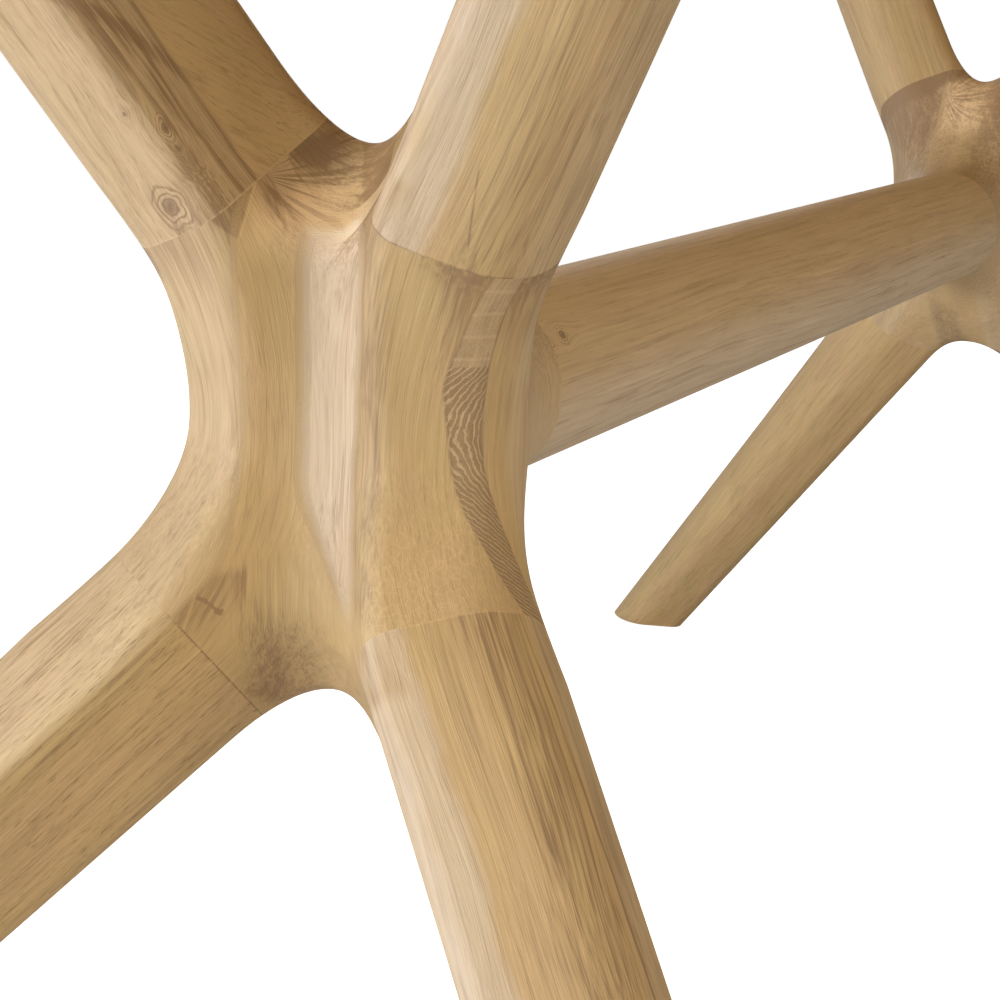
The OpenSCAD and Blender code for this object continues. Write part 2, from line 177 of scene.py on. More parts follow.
class TableSettings(bpy.types.PropertyGroup):
    """All the settings of the table."""
    base: PointerProperty(type=BaseSizes)
    top: PointerProperty(type=TopSizes)
    oak: PointerProperty(type=OakColours)
    stage: PointerProperty(type=StageSettings)


def settings():
    """The scene's settings of the table."""
    return bpy.context.scene.oak_table


# Shape of the base, in the frame of one hub: u outward from the middle of the table, v
# sideways, w up from the hub's middle. A field is negative inside the wood.

def smooth_min(a, b, k):
    """Least of two distances, rounded where they differ by less than k: the least, less the
    square of (k less their difference) over 4 k."""
    return np.minimum(a, b) - np.maximum(k - np.abs(a - b), 0.0) ** 2 / (4.0 * k)


def middle_line(w):
    """Middle line of a bent side at height w: a hyperbola from the waist, sqrt((slope w)^2 +
    bend^2) less the bend, then straight beyond the glue joint. Gives the outward and sideways
    place and the two slopes."""
    up = w > 0
    pick = lambda name: np.where(up, UPPER[name], LOWER[name])
    a, b, e, f = pick("out_slope"), pick("side_slope"), pick("out_bend"), pick("side_bend")
    c = np.minimum(np.abs(w), pick("joint"))
    past = np.abs(w) - c
    p = np.sqrt((a * c) ** 2 + e * e)
    q = np.sqrt((b * c) ** 2 + f * f)
    da = a * a * c / p
    db = b * b * c / q
    s = np.where(up, 1.0, -1.0)
    return WAIST["out"] + p - e + da * past, WAIST["side"] + q - f + db * past, s * da, s * db


def section_at(w):
    """Section of a bent side at height w: half depth, half width, turn and four corner radii,
    eased from the leg's through the waist's to the arm's by w over sqrt(w^2 + reach^2)."""
    up = w > 0
    pick = lambda name: np.where(up, UPPER[name], LOWER[name])
    c = np.minimum(np.abs(w), pick("joint"))
    t = np.where(up, 1.0, -1.0) * c / np.sqrt(c * c + WAIST["reach"] ** 2)
    near = 1.0 / (1.0 + (c / WAIST["reach"]) ** 2)
    mix = lambda high, low: (1 + t) / 2 * high + (1 - t) / 2 * low
    depth = mix(UPPER["depth"], LOWER["depth"]) + near * WAIST["depth"] - pick("depth_loss") * np.abs(w)
    width = mix(UPPER["width"], LOWER["width"]) - near * WAIST["narrow"] - pick("width_loss") * np.abs(w)
    turn = np.radians(mix(UPPER["turn"], LOWER["turn"]) + near * WAIST["turn"])
    return depth, width, turn, [mix(high, low) for high, low in zip(UPPER["corners"], LOWER["corners"])]


def side_frame(slope_u, slope_v):
    """Square frame of a bent side from the slopes of its middle line: the direction along it,
    the direction to the front square to it, and the direction towards the mirror plane."""
    n = np.sqrt(slope_u ** 2 + slope_v ** 2 + 1)
    d = np.stack([slope_u / n, slope_v / n, 1 / n], -1)
    l = np.sqrt(1 - d[..., 0] ** 2)
    front = np.stack([l, -d[..., 0] * d[..., 1] / l, -d[..., 0] * d[..., 2] / l], -1)
    inward = np.stack([0 * l, -d[..., 2] / l, d[..., 1] / l], -1)
    return d, front, inward


def rounded_box(x, y, a, b, radii):
    """Distance to a rectangle of half sizes a, b with its own radius at each corner."""
    r = np.where(x > 0, np.where(y > 0, radii[0], radii[1]), np.where(y > 0, radii[2], radii[3]))
    r = np.minimum(r, np.minimum(a, b))
    p = np.abs(x) - a + r
    q = np.abs(y) - b + r
    return np.minimum(np.maximum(p, q), 0) + np.hypot(np.maximum(p, 0), np.maximum(q, 0)) - r


def side_distance(u, v, w):
    """Distance to one bent side: its section's, seen along its middle line."""
    cu, cv, su, sv = middle_line(w)
    _, front, inward = side_frame(su, sv)
    depth, width, turn, radii = section_at(w)
    x = (u - cu) * front[..., 0] + (v - cv) * front[..., 1]
    y = (v - cv) * inward[..., 1]
    c, n = np.cos(turn), np.sin(turn)
    return rounded_box(c * x + n * y, c * y - n * x, depth, width, radii)


def base_distance(p):
    """Distance to the base round one hub: both bent sides and the beam, blended. The blend of
    the sides is narrow in the valley and wide in the crotches."""
    u, v, w = p[..., 0], p[..., 1], p[..., 2]
    k = CROTCH_BLEND + (VALLEY_BLEND - CROTCH_BLEND) / (1 + (w / VALLEY_REACH) ** 4)
    both = smooth_min(side_distance(u, v, w), side_distance(u, -v, w), k)
    beam = -smooth_min(settings().base.beam_radius - np.hypot(v, w), -u, BEAM_END_BLEND)
    return smooth_min(both, beam, BEAM_BLEND)


def joint_of(limb, up):
    """Glue joint of an arm or leg: its middle, and the square frame of its section there, as
    along the limb, across its depth and across its width."""
    w = np.array(limb["joint"] if up else -limb["joint"])
    cu, cv, su, sv = middle_line(w)
    d, front, inward = side_frame(su, sv)
    turn = section_at(w)[2]
    c, n = np.cos(turn), np.sin(turn)
    return np.array([cu, cv, w]), (1 if up else -1) * d, c * front + n * inward, c * inward - n * front


def surface_along(field, start, way, near, far):
    """Points where rays leave the wood: each ray's length is halved in towards the change of
    the field's sign."""
    near = np.broadcast_to(near, way.shape[:-1]).astype(float)
    far = np.broadcast_to(far, way.shape[:-1]).astype(float)
    for _ in range(HALVINGS):
        middle = (near + far) / 2
        inside = field(start + middle[..., None] * way) < 0
        near = np.where(inside, middle, near)
        far = np.where(inside, far, middle)
    return start + ((near + far) / 2)[..., None] * way


def to_table(points, end, side):
    """Carries points from a hub's frame to the table's, at one end and on one side."""
    base = settings().base
    out = np.empty_like(points)
    out[..., 0] = end * (base.hub_spacing / 2 + points[..., 0])
    out[..., 1] = side * points[..., 1]
    out[..., 2] = base.hub_height + points[..., 2]
    return out


# Meshes

def loft(rings, first=None, last=None):
    """Closed surface through rings of equal count, as vertices and faces. first and last are
    single points that close the ends, or None, which closes them with one flat face."""
    count, n = rings.shape[:2]
    points = rings.reshape(-1, 3)
    i, k = np.meshgrid(np.arange(count - 1), np.arange(n), indexing="ij")
    here, beside = i * n + k, i * n + (k + 1) % n
    faces = np.stack([here, here + n, beside + n, beside], -1).reshape(-1, 4).tolist()
    k = np.arange(n)
    end = (count - 1) * n
    for tip, ring in ((first, k), (last, end + k[::-1])):
        if tip is None:
            faces.append(ring.tolist())
        else:
            faces += np.stack([np.full(n, len(points)), ring, np.roll(ring, -1)], -1).tolist()
            points = np.vstack([points, tip])
    return points, faces


def new_piece(name, points, faces, replaced):
    """Object from points and faces that point outwards, riding on the table and standing for
    the CAD nodes given."""
    mesh = bpy.data.meshes.new(name)
    mesh.from_pydata(np.asarray(points).tolist(), [], faces)
    piece = bpy.data.objects.new(name, mesh)
    bpy.context.scene.collection.objects.link(piece)
    finish_mesh(mesh)
    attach(piece, "root")
    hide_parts(*replaced)
    return piece


def finish_mesh(mesh):
    """Turns the faces outwards and shades them smooth between crisp edges."""
    work = bmesh.new()
    work.from_mesh(mesh)
    if work.calc_volume(signed=True) < 0:
        bmesh.ops.reverse_faces(work, faces=work.faces)
    work.to_mesh(mesh)
    work.free()
    mesh.polygons.foreach_set("use_smooth", np.ones(len(mesh.polygons), bool))
    mesh.set_sharp_from_angle(angle=CRISP)
    mesh.update()


def cut_flat(mesh, planes):
    """Cuts away what lies beyond each plane (a point and an outward normal) and closes the cut."""
    work = bmesh.new()
    work.from_mesh(mesh)
    for point, normal in planes:
        whole = work.verts[:] + work.edges[:] + work.faces[:]
        bmesh.ops.bisect_plane(work, geom=whole, dist=1e-7, plane_co=Vector(point),
                               plane_no=Vector(normal), clear_outer=True)
        bmesh.ops.holes_fill(work, edges=[e for e in work.edges if e.is_boundary], sides=0)
    work.to_mesh(mesh)
    work.free()


def hub_points():
    """Surface of a hub as a star round its heart: direction by polar angle from the outward
    axis and by turn about it, distance by the field, which is cut a little past the joints."""
    base = settings().base
    upper, lower = joint_of(UPPER, True), joint_of(LOWER, False)
    heart = np.array([upper[0][0] - upper[1][0] / upper[1][2] * UPPER["joint"], 0.0, 0.0])

    def field(p):
        q = p * (1, 0, 1) + np.abs(p) * (0, 1, 0)
        return np.maximum.reduce([
            base_distance(p),
            (q - upper[0]) @ upper[1] - CUT_MARGIN,
            (q - lower[0]) @ lower[1] - CUT_MARGIN,
            -p[..., 0] - base.beam_joint - CUT_MARGIN])

    polar, turn = np.meshgrid(np.linspace(0, np.pi, HUB_ALONG + 1)[1:-1],
                              np.linspace(0, 2 * np.pi, HUB_AROUND, endpoint=False), indexing="ij")
    way = np.stack([np.cos(polar), np.sin(polar) * np.sin(turn), np.sin(polar) * np.cos(turn)], -1)
    rings = surface_along(field, heart, way, RAY_NEAR / 2, 2 * base.beam_joint)
    poles = np.array([[1.0, 0, 0], [-1.0, 0, 0]])
    tips = surface_along(field, heart, poles, RAY_NEAR / 2, 2 * base.beam_joint)
    return rings, tips


def limb_rings(limb, up, stop, steps):
    """Rings of an arm or leg from its joint to the level z = stop. A ray leaves the middle line
    square to it for each angle of the section, and the last ring lies in the level plane."""
    base = settings().base
    middle, along, deep, wide = joint_of(limb, up)
    angle = np.linspace(0, 2 * np.pi, base.around, endpoint=False)
    way = np.cos(angle)[:, None] * deep + np.sin(angle)[:, None] * wide
    run = np.full(base.around, (stop - middle[2]) / along[2])
    for _ in range(4):
        ends = surface_along(base_distance, middle + run[:, None] * along, way, RAY_NEAR, RAY_FAR)
        run += (stop - ends[:, 2]) / along[2]
    share = np.linspace(0, 1, steps)
    share = share * (0.6 + 0.4 * share)
    start = middle + (share[:, None] * run)[..., None] * along
    return surface_along(base_distance, start, np.broadcast_to(way, start.shape), RAY_NEAR, FOOT_FAR)


def inset_ring(ring, depth, rise):
    """Ring drawn in by depth towards its middle and raised by rise."""
    middle = ring.mean(0)
    out = ring - middle
    far = np.linalg.norm(out, axis=-1, keepdims=True)
    return middle + out * (1 - depth / far) + np.array([0, 0, rise])


def circle_ring(ring, middle, radius, z):
    """Circle at height z, its points at the angles of the ring's."""
    out = (ring - middle)[:, :2]
    out = radius * out / np.linalg.norm(out, axis=-1, keepdims=True)
    return np.column_stack([middle[0] + out[:, 0], middle[1] + out[:, 1], np.full(len(ring), z)])


# Shader nodes

class Wires:
    """Adds nodes to a tree and joins them. A value may be a number, a tuple or an output."""

    def __init__(self, tree):
        self.tree = tree

    def node(self, kind, values=(), **facts):
        n = self.tree.nodes.new(kind)
        for name, fact in facts.items():
            setattr(n, name, fact)
        for key, value in dict(values).items():
            if isinstance(value, bpy.types.NodeSocket):
                self.tree.links.new(value, n.inputs[key])
            elif value is not None:
                n.inputs[key].default_value = value
        return n

    def math(self, operation, a, b=None, c=None, clamp=False):
        values = {i: x for i, x in enumerate((a, b, c)) if x is not None}
        return self.node("ShaderNodeMath", values, operation=operation, use_clamp=clamp).outputs[0]

    def vector(self, operation, a, b=None, scale=None):
        values = {0: a, 1: b}
        if scale is not None:
            values["Scale"] = scale
        n = self.node("ShaderNodeVectorMath", values, operation=operation)
        return n.outputs["Value" if operation in ("DOT_PRODUCT", "LENGTH", "DISTANCE") else "Vector"]

    def split(self, v):
        return self.node("ShaderNodeSeparateXYZ", {0: v}).outputs

    def join(self, x, y, z):
        return self.node("ShaderNodeCombineXYZ", {0: x, 1: y, 2: z}).outputs[0]

    def noise(self, v, scale=1.0, detail=2.0, rough=0.5, colour=False):
        values = {"Vector": v, "Scale": scale, "Detail": detail, "Roughness": rough}
        n = self.node("ShaderNodeTexNoise", values)
        return n.outputs["Color" if colour else "Fac"]

    def step(self, x, low, high, to_low=0.0, to_high=1.0):
        """Smooth step over x from low to high, which may fall."""
        values = {"Value": x, "From Min": low, "From Max": high, "To Min": to_low, "To Max": to_high}
        return self.node("ShaderNodeMapRange", values, interpolation_type="SMOOTHSTEP").outputs[0]

    def line(self, x, half):
        """1 on x = 0, falling to 0 at half to either side."""
        return self.step(self.math("ABSOLUTE", x), half, 0.25 * half)

    def plane(self, v, normal, far):
        """Signed distance of v to the plane with that normal, far from the origin."""
        return self.math("SUBTRACT", self.vector("DOT_PRODUCT", v, normal), far)

    def times(self, *factors):
        out = factors[0]
        for x in factors[1:]:
            out = self.math("MULTIPLY", out, x)
        return out

    def total(self, *terms):
        out = terms[0]
        for x in terms[1:]:
            out = self.math("ADD", out, x)
        return out

    def inverse(self, x):
        return self.math("SUBTRACT", 1.0, x)

    def blend(self, share, a, b):
        """a at share 0 to b at share 1, for values."""
        return self.total(self.times(a, self.inverse(share)), self.times(b, share))

    def centred(self, x, size):
        """x of 0 to 1 as -size/2 to size/2."""
        return self.math("MULTIPLY", self.math("SUBTRACT", x, 0.5), size)

    def mix(self, share, a, b, blend="MIX"):
        n = self.node("ShaderNodeMix", {0: share, 6: a, 7: b}, data_type="RGBA", blend_type=blend)
        return n.outputs[2]

    def group(self, tree, values):
        n = self.node("ShaderNodeGroup")
        n.node_tree = tree
        for key, value in values.items():
            if isinstance(value, bpy.types.NodeSocket):
                self.tree.links.new(value, n.inputs[key])
            else:
                n.inputs[key].default_value = value
        return n.outputs


def new_group(name, inputs, outputs):
    """Empty node group with named sockets: inputs are (name, kind, default), outputs (name,
    kind), where kind is Float, Vector or Color."""
    tree = bpy.data.node_groups.new(name, "ShaderNodeTree")
    for label, kind, value in inputs:
        s = tree.interface.new_socket(name=label, in_out="INPUT", socket_type="NodeSocket" + kind)
        if value is not None:
            s.default_value = value
    for label, kind in outputs:
        tree.interface.new_socket(name=label, in_out="OUTPUT", socket_type="NodeSocket" + kind)
    ways = tree.nodes.new("NodeGroupInput").outputs, tree.nodes.new("NodeGroupOutput").inputs
    return tree, Wires(tree), *ways


def rgba(colour):
    """Colour with full alpha."""
    return (*colour, 1.0)


def oak_grain_group():
    """Solid oak figure in a frame whose Z runs with the grain. Growth rings are cylinders round
    the pith. Mottle, streaks, fibres and pore dashes are noise drawn out along the grain, and a
    slow and a quick wave bend them all. Tone rises with darkness; Gold goes from pinkish at 0 to
    golden at 1."""
    tree, w, i, o = new_group("Oak grain", [
        ("Vector", "Vector", None), ("Pith", "Vector", (0.06, 0.10, 0.0)), ("Ring Width", "Float", 0.0035),
        ("Rings", "Float", 0.16), ("Mottle", "Float", 1.0), ("Streaks", "Float", 1.0),
        ("Pores", "Float", 1.0), ("Wander", "Float", 1.0), ("Seed", "Float", 0.0)],
        [("Tone", "Float"), ("Pore", "Float"), ("Height", "Float"), ("Gold", "Float")])
    p = w.vector("ADD", i["Vector"], w.vector("SCALE", (0.37, 0.71, 1.13), scale=i["Seed"]))
    slow = w.noise(w.vector("MULTIPLY", p, (16, 16, 9)), detail=1.0, colour=True)
    slow = w.vector("SCALE", w.vector("SUBTRACT", slow, (0.5, 0.5, 0.5)), scale=w.times(i["Wander"], 0.014))
    quick = w.noise(w.vector("MULTIPLY", p, (80, 80, 30)), detail=1.5, colour=True)
    quick = w.vector("SCALE", w.vector("SUBTRACT", quick, (0.5, 0.5, 0.5)), scale=0.0018)
    wave = w.vector("MULTIPLY", w.vector("ADD", slow, quick), (1, 1, 0))
    b = w.vector("ADD", p, wave)
    mottle = w.noise(w.vector("MULTIPLY", b, (170, 170, 42)), detail=2.0)
    streak = w.noise(w.vector("MULTIPLY", b, (700, 700, 17)), detail=3.0, rough=0.58)
    fibre = w.noise(w.vector("MULTIPLY", b, (2300, 2300, 48)), detail=0.5)
    out = w.vector("SUBTRACT", w.vector("ADD", i["Vector"], wave), i["Pith"])
    ring = w.math("DIVIDE", w.vector("LENGTH", w.vector("MULTIPLY", out, (1, 1, 0))), i["Ring Width"])
    phase = w.math("FRACT", w.total(ring, w.times(w.centred(mottle, 1.8), i["Mottle"])))
    early = w.times(w.step(phase, 0.0, 0.07), w.step(phase, 0.50, 0.06))
    aside = w.vector("ADD", b, (0.31, 0.17, 0.53))
    dash = w.noise(w.vector("MULTIPLY", aside, (3100, 3100, 230)), detail=0.0)
    open_pore = w.step(w.total(dash, w.times(early, 0.06), w.centred(streak, 0.35)), 0.66, 0.80)
    pore = w.times(open_pore, i["Pores"])
    tone = w.total(w.times(w.centred(mottle, 1.1), i["Mottle"]),
                   w.times(w.centred(streak, 1.3), i["Streaks"]),
                   w.times(w.centred(fibre, 0.9), i["Streaks"]), w.times(early, i["Rings"]))
    gold = w.step(w.noise(w.vector("MULTIPLY", b, (75, 75, 14)), detail=1.0), 0.3, 0.7)
    height = w.total(w.times(pore, -0.8), w.times(fibre, 0.45), w.times(streak, 0.5), w.times(early, -0.2))
    for name, value in (("Tone", tone), ("Pore", pore), ("Height", height), ("Gold", gold)):
        tree.links.new(value, o[name])
    return tree


def oak_colour_group():
    """Colours of oiled oak from the figure's tone, lower being paler, its gold, its pores and a
    mask of pale, pinkish wood."""
    oak = settings().oak
    tree, w, i, o = new_group("Oak colour", [
        ("Tone", "Float", 0.0), ("Pore", "Float", 0.0), ("Gold", "Float", 0.5), ("Pale", "Float", 0.0),
        ("Light", "Float", 1.0), ("Pale Colour", "Color", rgba(oak.pale)), ("Middle", "Color", rgba(oak.mid)),
        ("Deep", "Color", rgba(oak.deep)), ("Pore Colour", "Color", rgba(oak.pore))],
        [("Color", "Color"), ("Roughness", "Float")])
    hue = w.mix(i["Gold"], (1.01, 0.988, 1.03, 1), (0.988, 1.005, 0.97, 1))
    middle = w.mix(1.0, i["Middle"], hue, "MULTIPLY")
    body = w.mix(i["Pale"], middle, i["Pale Colour"])
    bright = w.mix(1.0, body, (1.13, 1.15, 1.17, 1), "MULTIPLY")
    first = w.mix(w.step(i["Tone"], 0.05, -0.55), body, bright)
    second = w.mix(w.step(i["Tone"], -0.05, 1.15), first, i["Deep"])
    colour = w.mix(w.math("MULTIPLY", i["Pore"], 0.60, clamp=True), second, i["Pore Colour"])
    colour = w.vector("SCALE", colour, scale=i["Light"])
    tree.links.new(colour, o["Color"])
    tree.links.new(w.total(0.50, w.times(i["Pore"], 0.25)), o["Roughness"])
    return tree


def oak_band_group():
    """Band along a limb, round its middle line: a mask by angle about Z and by place along it.
    The band's middle drifts with Z, by radians per metre, and wavers."""
    tree, w, i, o = new_group("Oak band", [
        ("Vector", "Vector", None), ("Angle", "Float", 0.0), ("Half", "Float", 0.1), ("Edge", "Float", 0.05),
        ("Drift", "Float", 0.0), ("Waver", "Float", 0.05), ("From", "Float", -1.0), ("To", "Float", 1.0)],
        [("Mask", "Float")])
    x, y, z = w.split(i["Vector"])
    wave = w.noise(w.join(w.times(i["Angle"], 7.0), 0.0, w.times(z, 45.0)), detail=2.0)
    off = w.total(w.math("ARCTAN2", y, x), w.times(i["Angle"], -1.0), w.times(i["Drift"], z, -1.0),
                  w.times(w.centred(wave, 2.0), i["Waver"]))
    off = w.math("ABSOLUTE", w.math("WRAP", off, math.pi, -math.pi))
    mask = w.step(off, w.total(i["Half"], i["Edge"]), w.math("SUBTRACT", i["Half"], i["Edge"]))
    soft = w.step(w.math("SUBTRACT", z, i["From"]), 0.0, 0.006)
    mask = w.times(mask, soft, w.step(w.math("SUBTRACT", i["To"], z), 0.0, 0.006))
    tree.links.new(mask, o["Mask"])
    return tree


def knot_group():
    """Knot that runs along an axis through a place in the wood's frame: the grain spreads round
    it. Gives the spread vector, a mask of the heart and a mask of the rings round it."""
    tree, w, i, o = new_group("Oak knot", [
        ("Vector", "Vector", None), ("Place", "Vector", (0, 0, 0)), ("Axis", "Vector", (1, 0, 0)),
        ("Radius", "Float", 0.006), ("Length", "Float", 1.4)],
        [("Vector", "Vector"), ("Heart", "Float"), ("Rings", "Float")])
    out = w.vector("SUBTRACT", i["Vector"], i["Place"])
    deep = w.vector("DOT_PRODUCT", out, i["Axis"])
    out = w.vector("SUBTRACT", out, w.vector("SCALE", i["Axis"], scale=deep))
    limit = w.step(w.math("ABSOLUTE", deep), 0.012, 0.008)
    near = w.vector("MULTIPLY", out, w.join(1.0, 1.0, w.math("DIVIDE", 1.0, i["Length"])))
    wobble = w.noise(w.vector("ADD", out, i["Place"]), 120.0, colour=True)
    wobble = w.vector("SCALE", w.vector("SUBTRACT", wobble, (0.5, 0.5, 0.5)), scale=w.times(i["Radius"], 1.1))
    far = w.math("DIVIDE", w.vector("LENGTH", w.vector("ADD", near, wobble)), i["Radius"])
    push = w.times(w.math("POWER", math.e, w.times(far, far, -0.30)), limit)
    side = w.vector("MULTIPLY", out, (1, 1, 0))
    spread = w.vector("SUBTRACT", i["Vector"], w.vector("SCALE", side, scale=w.times(push, 0.85)))
    heart = w.times(w.step(far, 0.70, 0.15), limit)
    crest = w.math("SINE", w.times(far, 19.0))
    rings = w.total(w.times(w.step(crest, 0.1, 0.95), 1.5), -0.35)
    rings = w.times(rings, w.step(far, 1.35, 0.80), limit)
    for name, value in (("Vector", spread), ("Heart", heart), ("Rings", rings)):
        tree.links.new(value, o[name])
    return tree


GROUPS = {}


def shared(name, maker):
    """The node group of that name, made once."""
    if name not in GROUPS:
        GROUPS[name] = maker()
    return GROUPS[name]


def new_material(name):
    """Material, the wires of its tree and its shader."""
    mat = bpy.data.materials.new(name)
    mat.use_nodes = True
    tree = mat.node_tree
    return mat, Wires(tree), tree.nodes["Principled BSDF"]


def finish_wood(w, shader, colour, rough, height, strength=0.45):
    """Joins colour, roughness and relief to a wood's shader."""
    bump = w.node("ShaderNodeBump", {"Strength": strength, "Distance": 0.0005, "Height": height})
    w.tree.links.new(bump.outputs[0], shader.inputs["Normal"])
    w.tree.links.new(colour, shader.inputs["Base Color"])
    w.tree.links.new(rough, shader.inputs["Roughness"])
    shader.inputs["Specular IOR Level"].default_value = 0.28


def wood_frame(w, axes, origin):
    """Object coordinates turned into a frame with the given axes, the last with the grain."""
    turn = Matrix([list(map(float, a)) for a in axes])
    place = -(turn @ Vector(list(map(float, origin))))
    coords = w.node("ShaderNodeTexCoord").outputs["Object"]
    values = {"Vector": coords, "Location": place, "Rotation": turn.to_euler("XYZ")}
    return w.node("ShaderNodeMapping", values, vector_type="POINT").outputs[0]


def limb_axes(limb, up, end, side):
    """Right-handed wood frame of an arm or leg in the table's frame, and its joint's middle."""
    middle, along, deep, _ = joint_of(limb, up)
    flip = np.array([end, side, 1.0])
    g, a = along * flip, deep * flip
    return (a, np.cross(g, a), g), to_table(middle, end, side)


MOST_WAVER = 6.0
GLUE_LINE = 0.0008
KNOT_RINGS = 0.75
KNOT_HEART = 0.85


def oak_limb_material(name, axes, origin, look):
    """Oak with the grain along a limb. look may hold: grain and colour, values for those groups;
    stretch, which draws the figure out, light and pale, for the whole piece; board, the width of
    a plank with darker glue lines; bands, as (angle, half width, edge in degrees, tone, pale,
    streaks, drift in degrees per metre, from, to); knots, as (place in the table, axis, radius,
    length); slant, as (angle, half width, slope) of a face where the grain runs aslant; seam, as
    (tone, angle, half width) of the part of the glue line that shows most."""
    mat, w, shader = new_material(name)
    v = wood_frame(w, axes, origin)

    def band(angle, half, edge, drift=0.0, start=-1.0, stop=1.0):
        angles = {"Angle": angle, "Half": half, "Edge": edge, "Drift": drift,
                  "Waver": min(2.0 * edge, MOST_WAVER)}
        values = {name: math.radians(value) for name, value in angles.items()}
        return w.group(shared("band", oak_band_group), {**values, "Vector": v, "From": start, "To": stop})[0]

    tone, pale, dark, streaks = 0.0, look.get("pale", 0.0), 0.0, 1.0
    for angle, half, edge, deeper, paler, rougher, *rest in look.get("bands", ()):
        mask = band(angle, half, edge, *rest)
        tone = w.total(w.times(mask, deeper), tone) if deeper else tone
        pale = w.total(w.times(mask, paler), pale) if paler else pale
        streaks = w.total(w.times(mask, rougher), streaks) if rougher else streaks
    g = v
    for angle, half, slope in look.get("slant", ()):
        a = math.radians(angle)
        push = w.times(band(angle, half, 3), w.split(v)[2], slope)
        g = w.vector("ADD", g, w.vector("SCALE", (-math.sin(a), math.cos(a), 0.0), scale=push))
    for place, axis, radius, length in look.get("knots", ()):
        turn = np.array(axes)
        k = w.group(shared("knot", knot_group), {
            "Vector": v, "Place": turn @ (np.array(place) - origin), "Axis": turn @ np.array(axis),
            "Radius": radius, "Length": length})
        g = w.vector("ADD", g, w.vector("SUBTRACT", k["Vector"], v))
        tone = w.total(w.times(k["Rings"], KNOT_RINGS), tone)
        dark = w.total(w.times(k["Heart"], KNOT_HEART), dark)
    if "board" in look:
        to_edge = w.math("PINGPONG", w.split(v)[0], look["board"] / 2)
        tone = w.total(w.times(w.line(to_edge, 0.0006), 0.7), tone)
    if "seam" in look:
        deeper, angle, half = look["seam"]
        share = w.total(0.2, w.times(band(angle, half, 4), 0.8))
        tone = w.total(w.times(w.line(w.split(v)[2], GLUE_LINE), share, deeper), tone)
    g = w.vector("MULTIPLY", g, (1.0, 1.0, 1.0 / look.get("stretch", 1.0)))
    grain = w.group(shared("grain", oak_grain_group), {"Vector": g, "Streaks": streaks, **look["grain"]})
    colour = w.group(shared("colour", oak_colour_group), {
        "Tone": w.total(grain["Tone"], tone), "Pore": grain["Pore"], "Gold": grain["Gold"], "Pale": pale,
        "Light": look.get("light", 1.0), **look.get("colour", {})})
    shade = colour["Color"]
    if look.get("knots"):
        shade = w.mix(dark, shade, rgba(settings().oak.knot))
    finish_wood(w, shader, shade, colour["Roughness"], grain["Height"])
    return mat


# Places on a hub, in its frame: x outward, y sideways, z up from its middle. A plane is (normal,
# distance from the middle), and an upright edge (place across, height under which it leans,
# slope there).
LAYER_FRONT = ((1.0, 0.10, -0.045), 0.0194)
LAYER_BACK = ((1.0, 0.108, -0.083), 0.0092)
LAYER_DIP = (0.0029, 0.016)
LAYER_PITH = (-0.018, 0.006, 0.0)
STRIP_EDGE = ((0.471, 0.882, 0.011), 0.0006)
STRIP_LEFT = (0.0052, -0.018, 0.62)
LEFT_EDGE = (0.0208, -0.036, 0.62)
TRIANGLE = (((0.0, 0.680, -0.733), -0.0278), ((-0.560, -0.757, -0.337), -0.0541))
LOW_SPLIT = ((-0.364, -0.931, 0.003), -0.0276)
LOW_SLANT = ((-0.256, -0.927, -0.273), -0.0242)
ARM_SEAM_RIGHT = ((0.37, -0.48, 0.80), 0.0775)
ARM_SEAM_LEFT = ((0.37, 0.48, 0.80), 0.0775)
FAN_START = (0.024, 0.020, 0.074)
# Middle of the painted shade deep in the upper crotch
CROTCH_SHADE_SPOT = (0.0055, 0.0108, 0.0808)
LOW_DARK_SPOT = (0.0264, 0.0141, -0.0790)
CRACK = ((0.0430, 0.0234, -0.0486), (-0.686, -0.473, -0.556), 0.0056)

# Soft-edged regions there, each a product of ramps (axis, where it starts, where it is whole)
RIGHT_SIDE = (("y", -0.010, -0.016),)
CROTCH = (("z", 0.050, 0.060),)
# Painted light in the upper crotch, which the top shades: the wood there is made lighter and paler
LIT_UPPER_CROTCH = (("z", 0.046, 0.062), ("y", 0.022, 0.016), ("y", -0.016, -0.008))
LOW_VALLEY = (("z", -0.024, -0.042), ("y", 0.024, 0.015), ("y", -0.020, -0.012))
STRIP_REACH = (("x", 0.018, 0.021), ("z", -0.056, -0.040))
END_GRAIN = (("z", 0.0250, 0.0242),)
FAN_REACH = (("z", 0.054, 0.064), ("y", 0.020, 0.016))
CRACKLE = (("z", -0.014, -0.026), ("z", -0.052, -0.044), ("y", -0.024, -0.034), ("y", -0.058, -0.050))
# Painted shade on the hub's inner side above its middle, towards the beam
INNER_SIDE_SHADE = (("x", 0.0, -0.02), ("z", -0.02, 0.03))

# Light glue lines: plane, half width, region and change of tone
GLUE_LINES = (
    (TRIANGLE[1], 0.0007, (("z", 0.055, 0.058), ("y", 0.010, 0.014)), -0.60),
    (LOW_SPLIT, 0.0006, (("z", -0.036, -0.040),), -0.12),
    (LOW_SLANT, 0.0006, (("z", -0.042, -0.046),), -0.35))
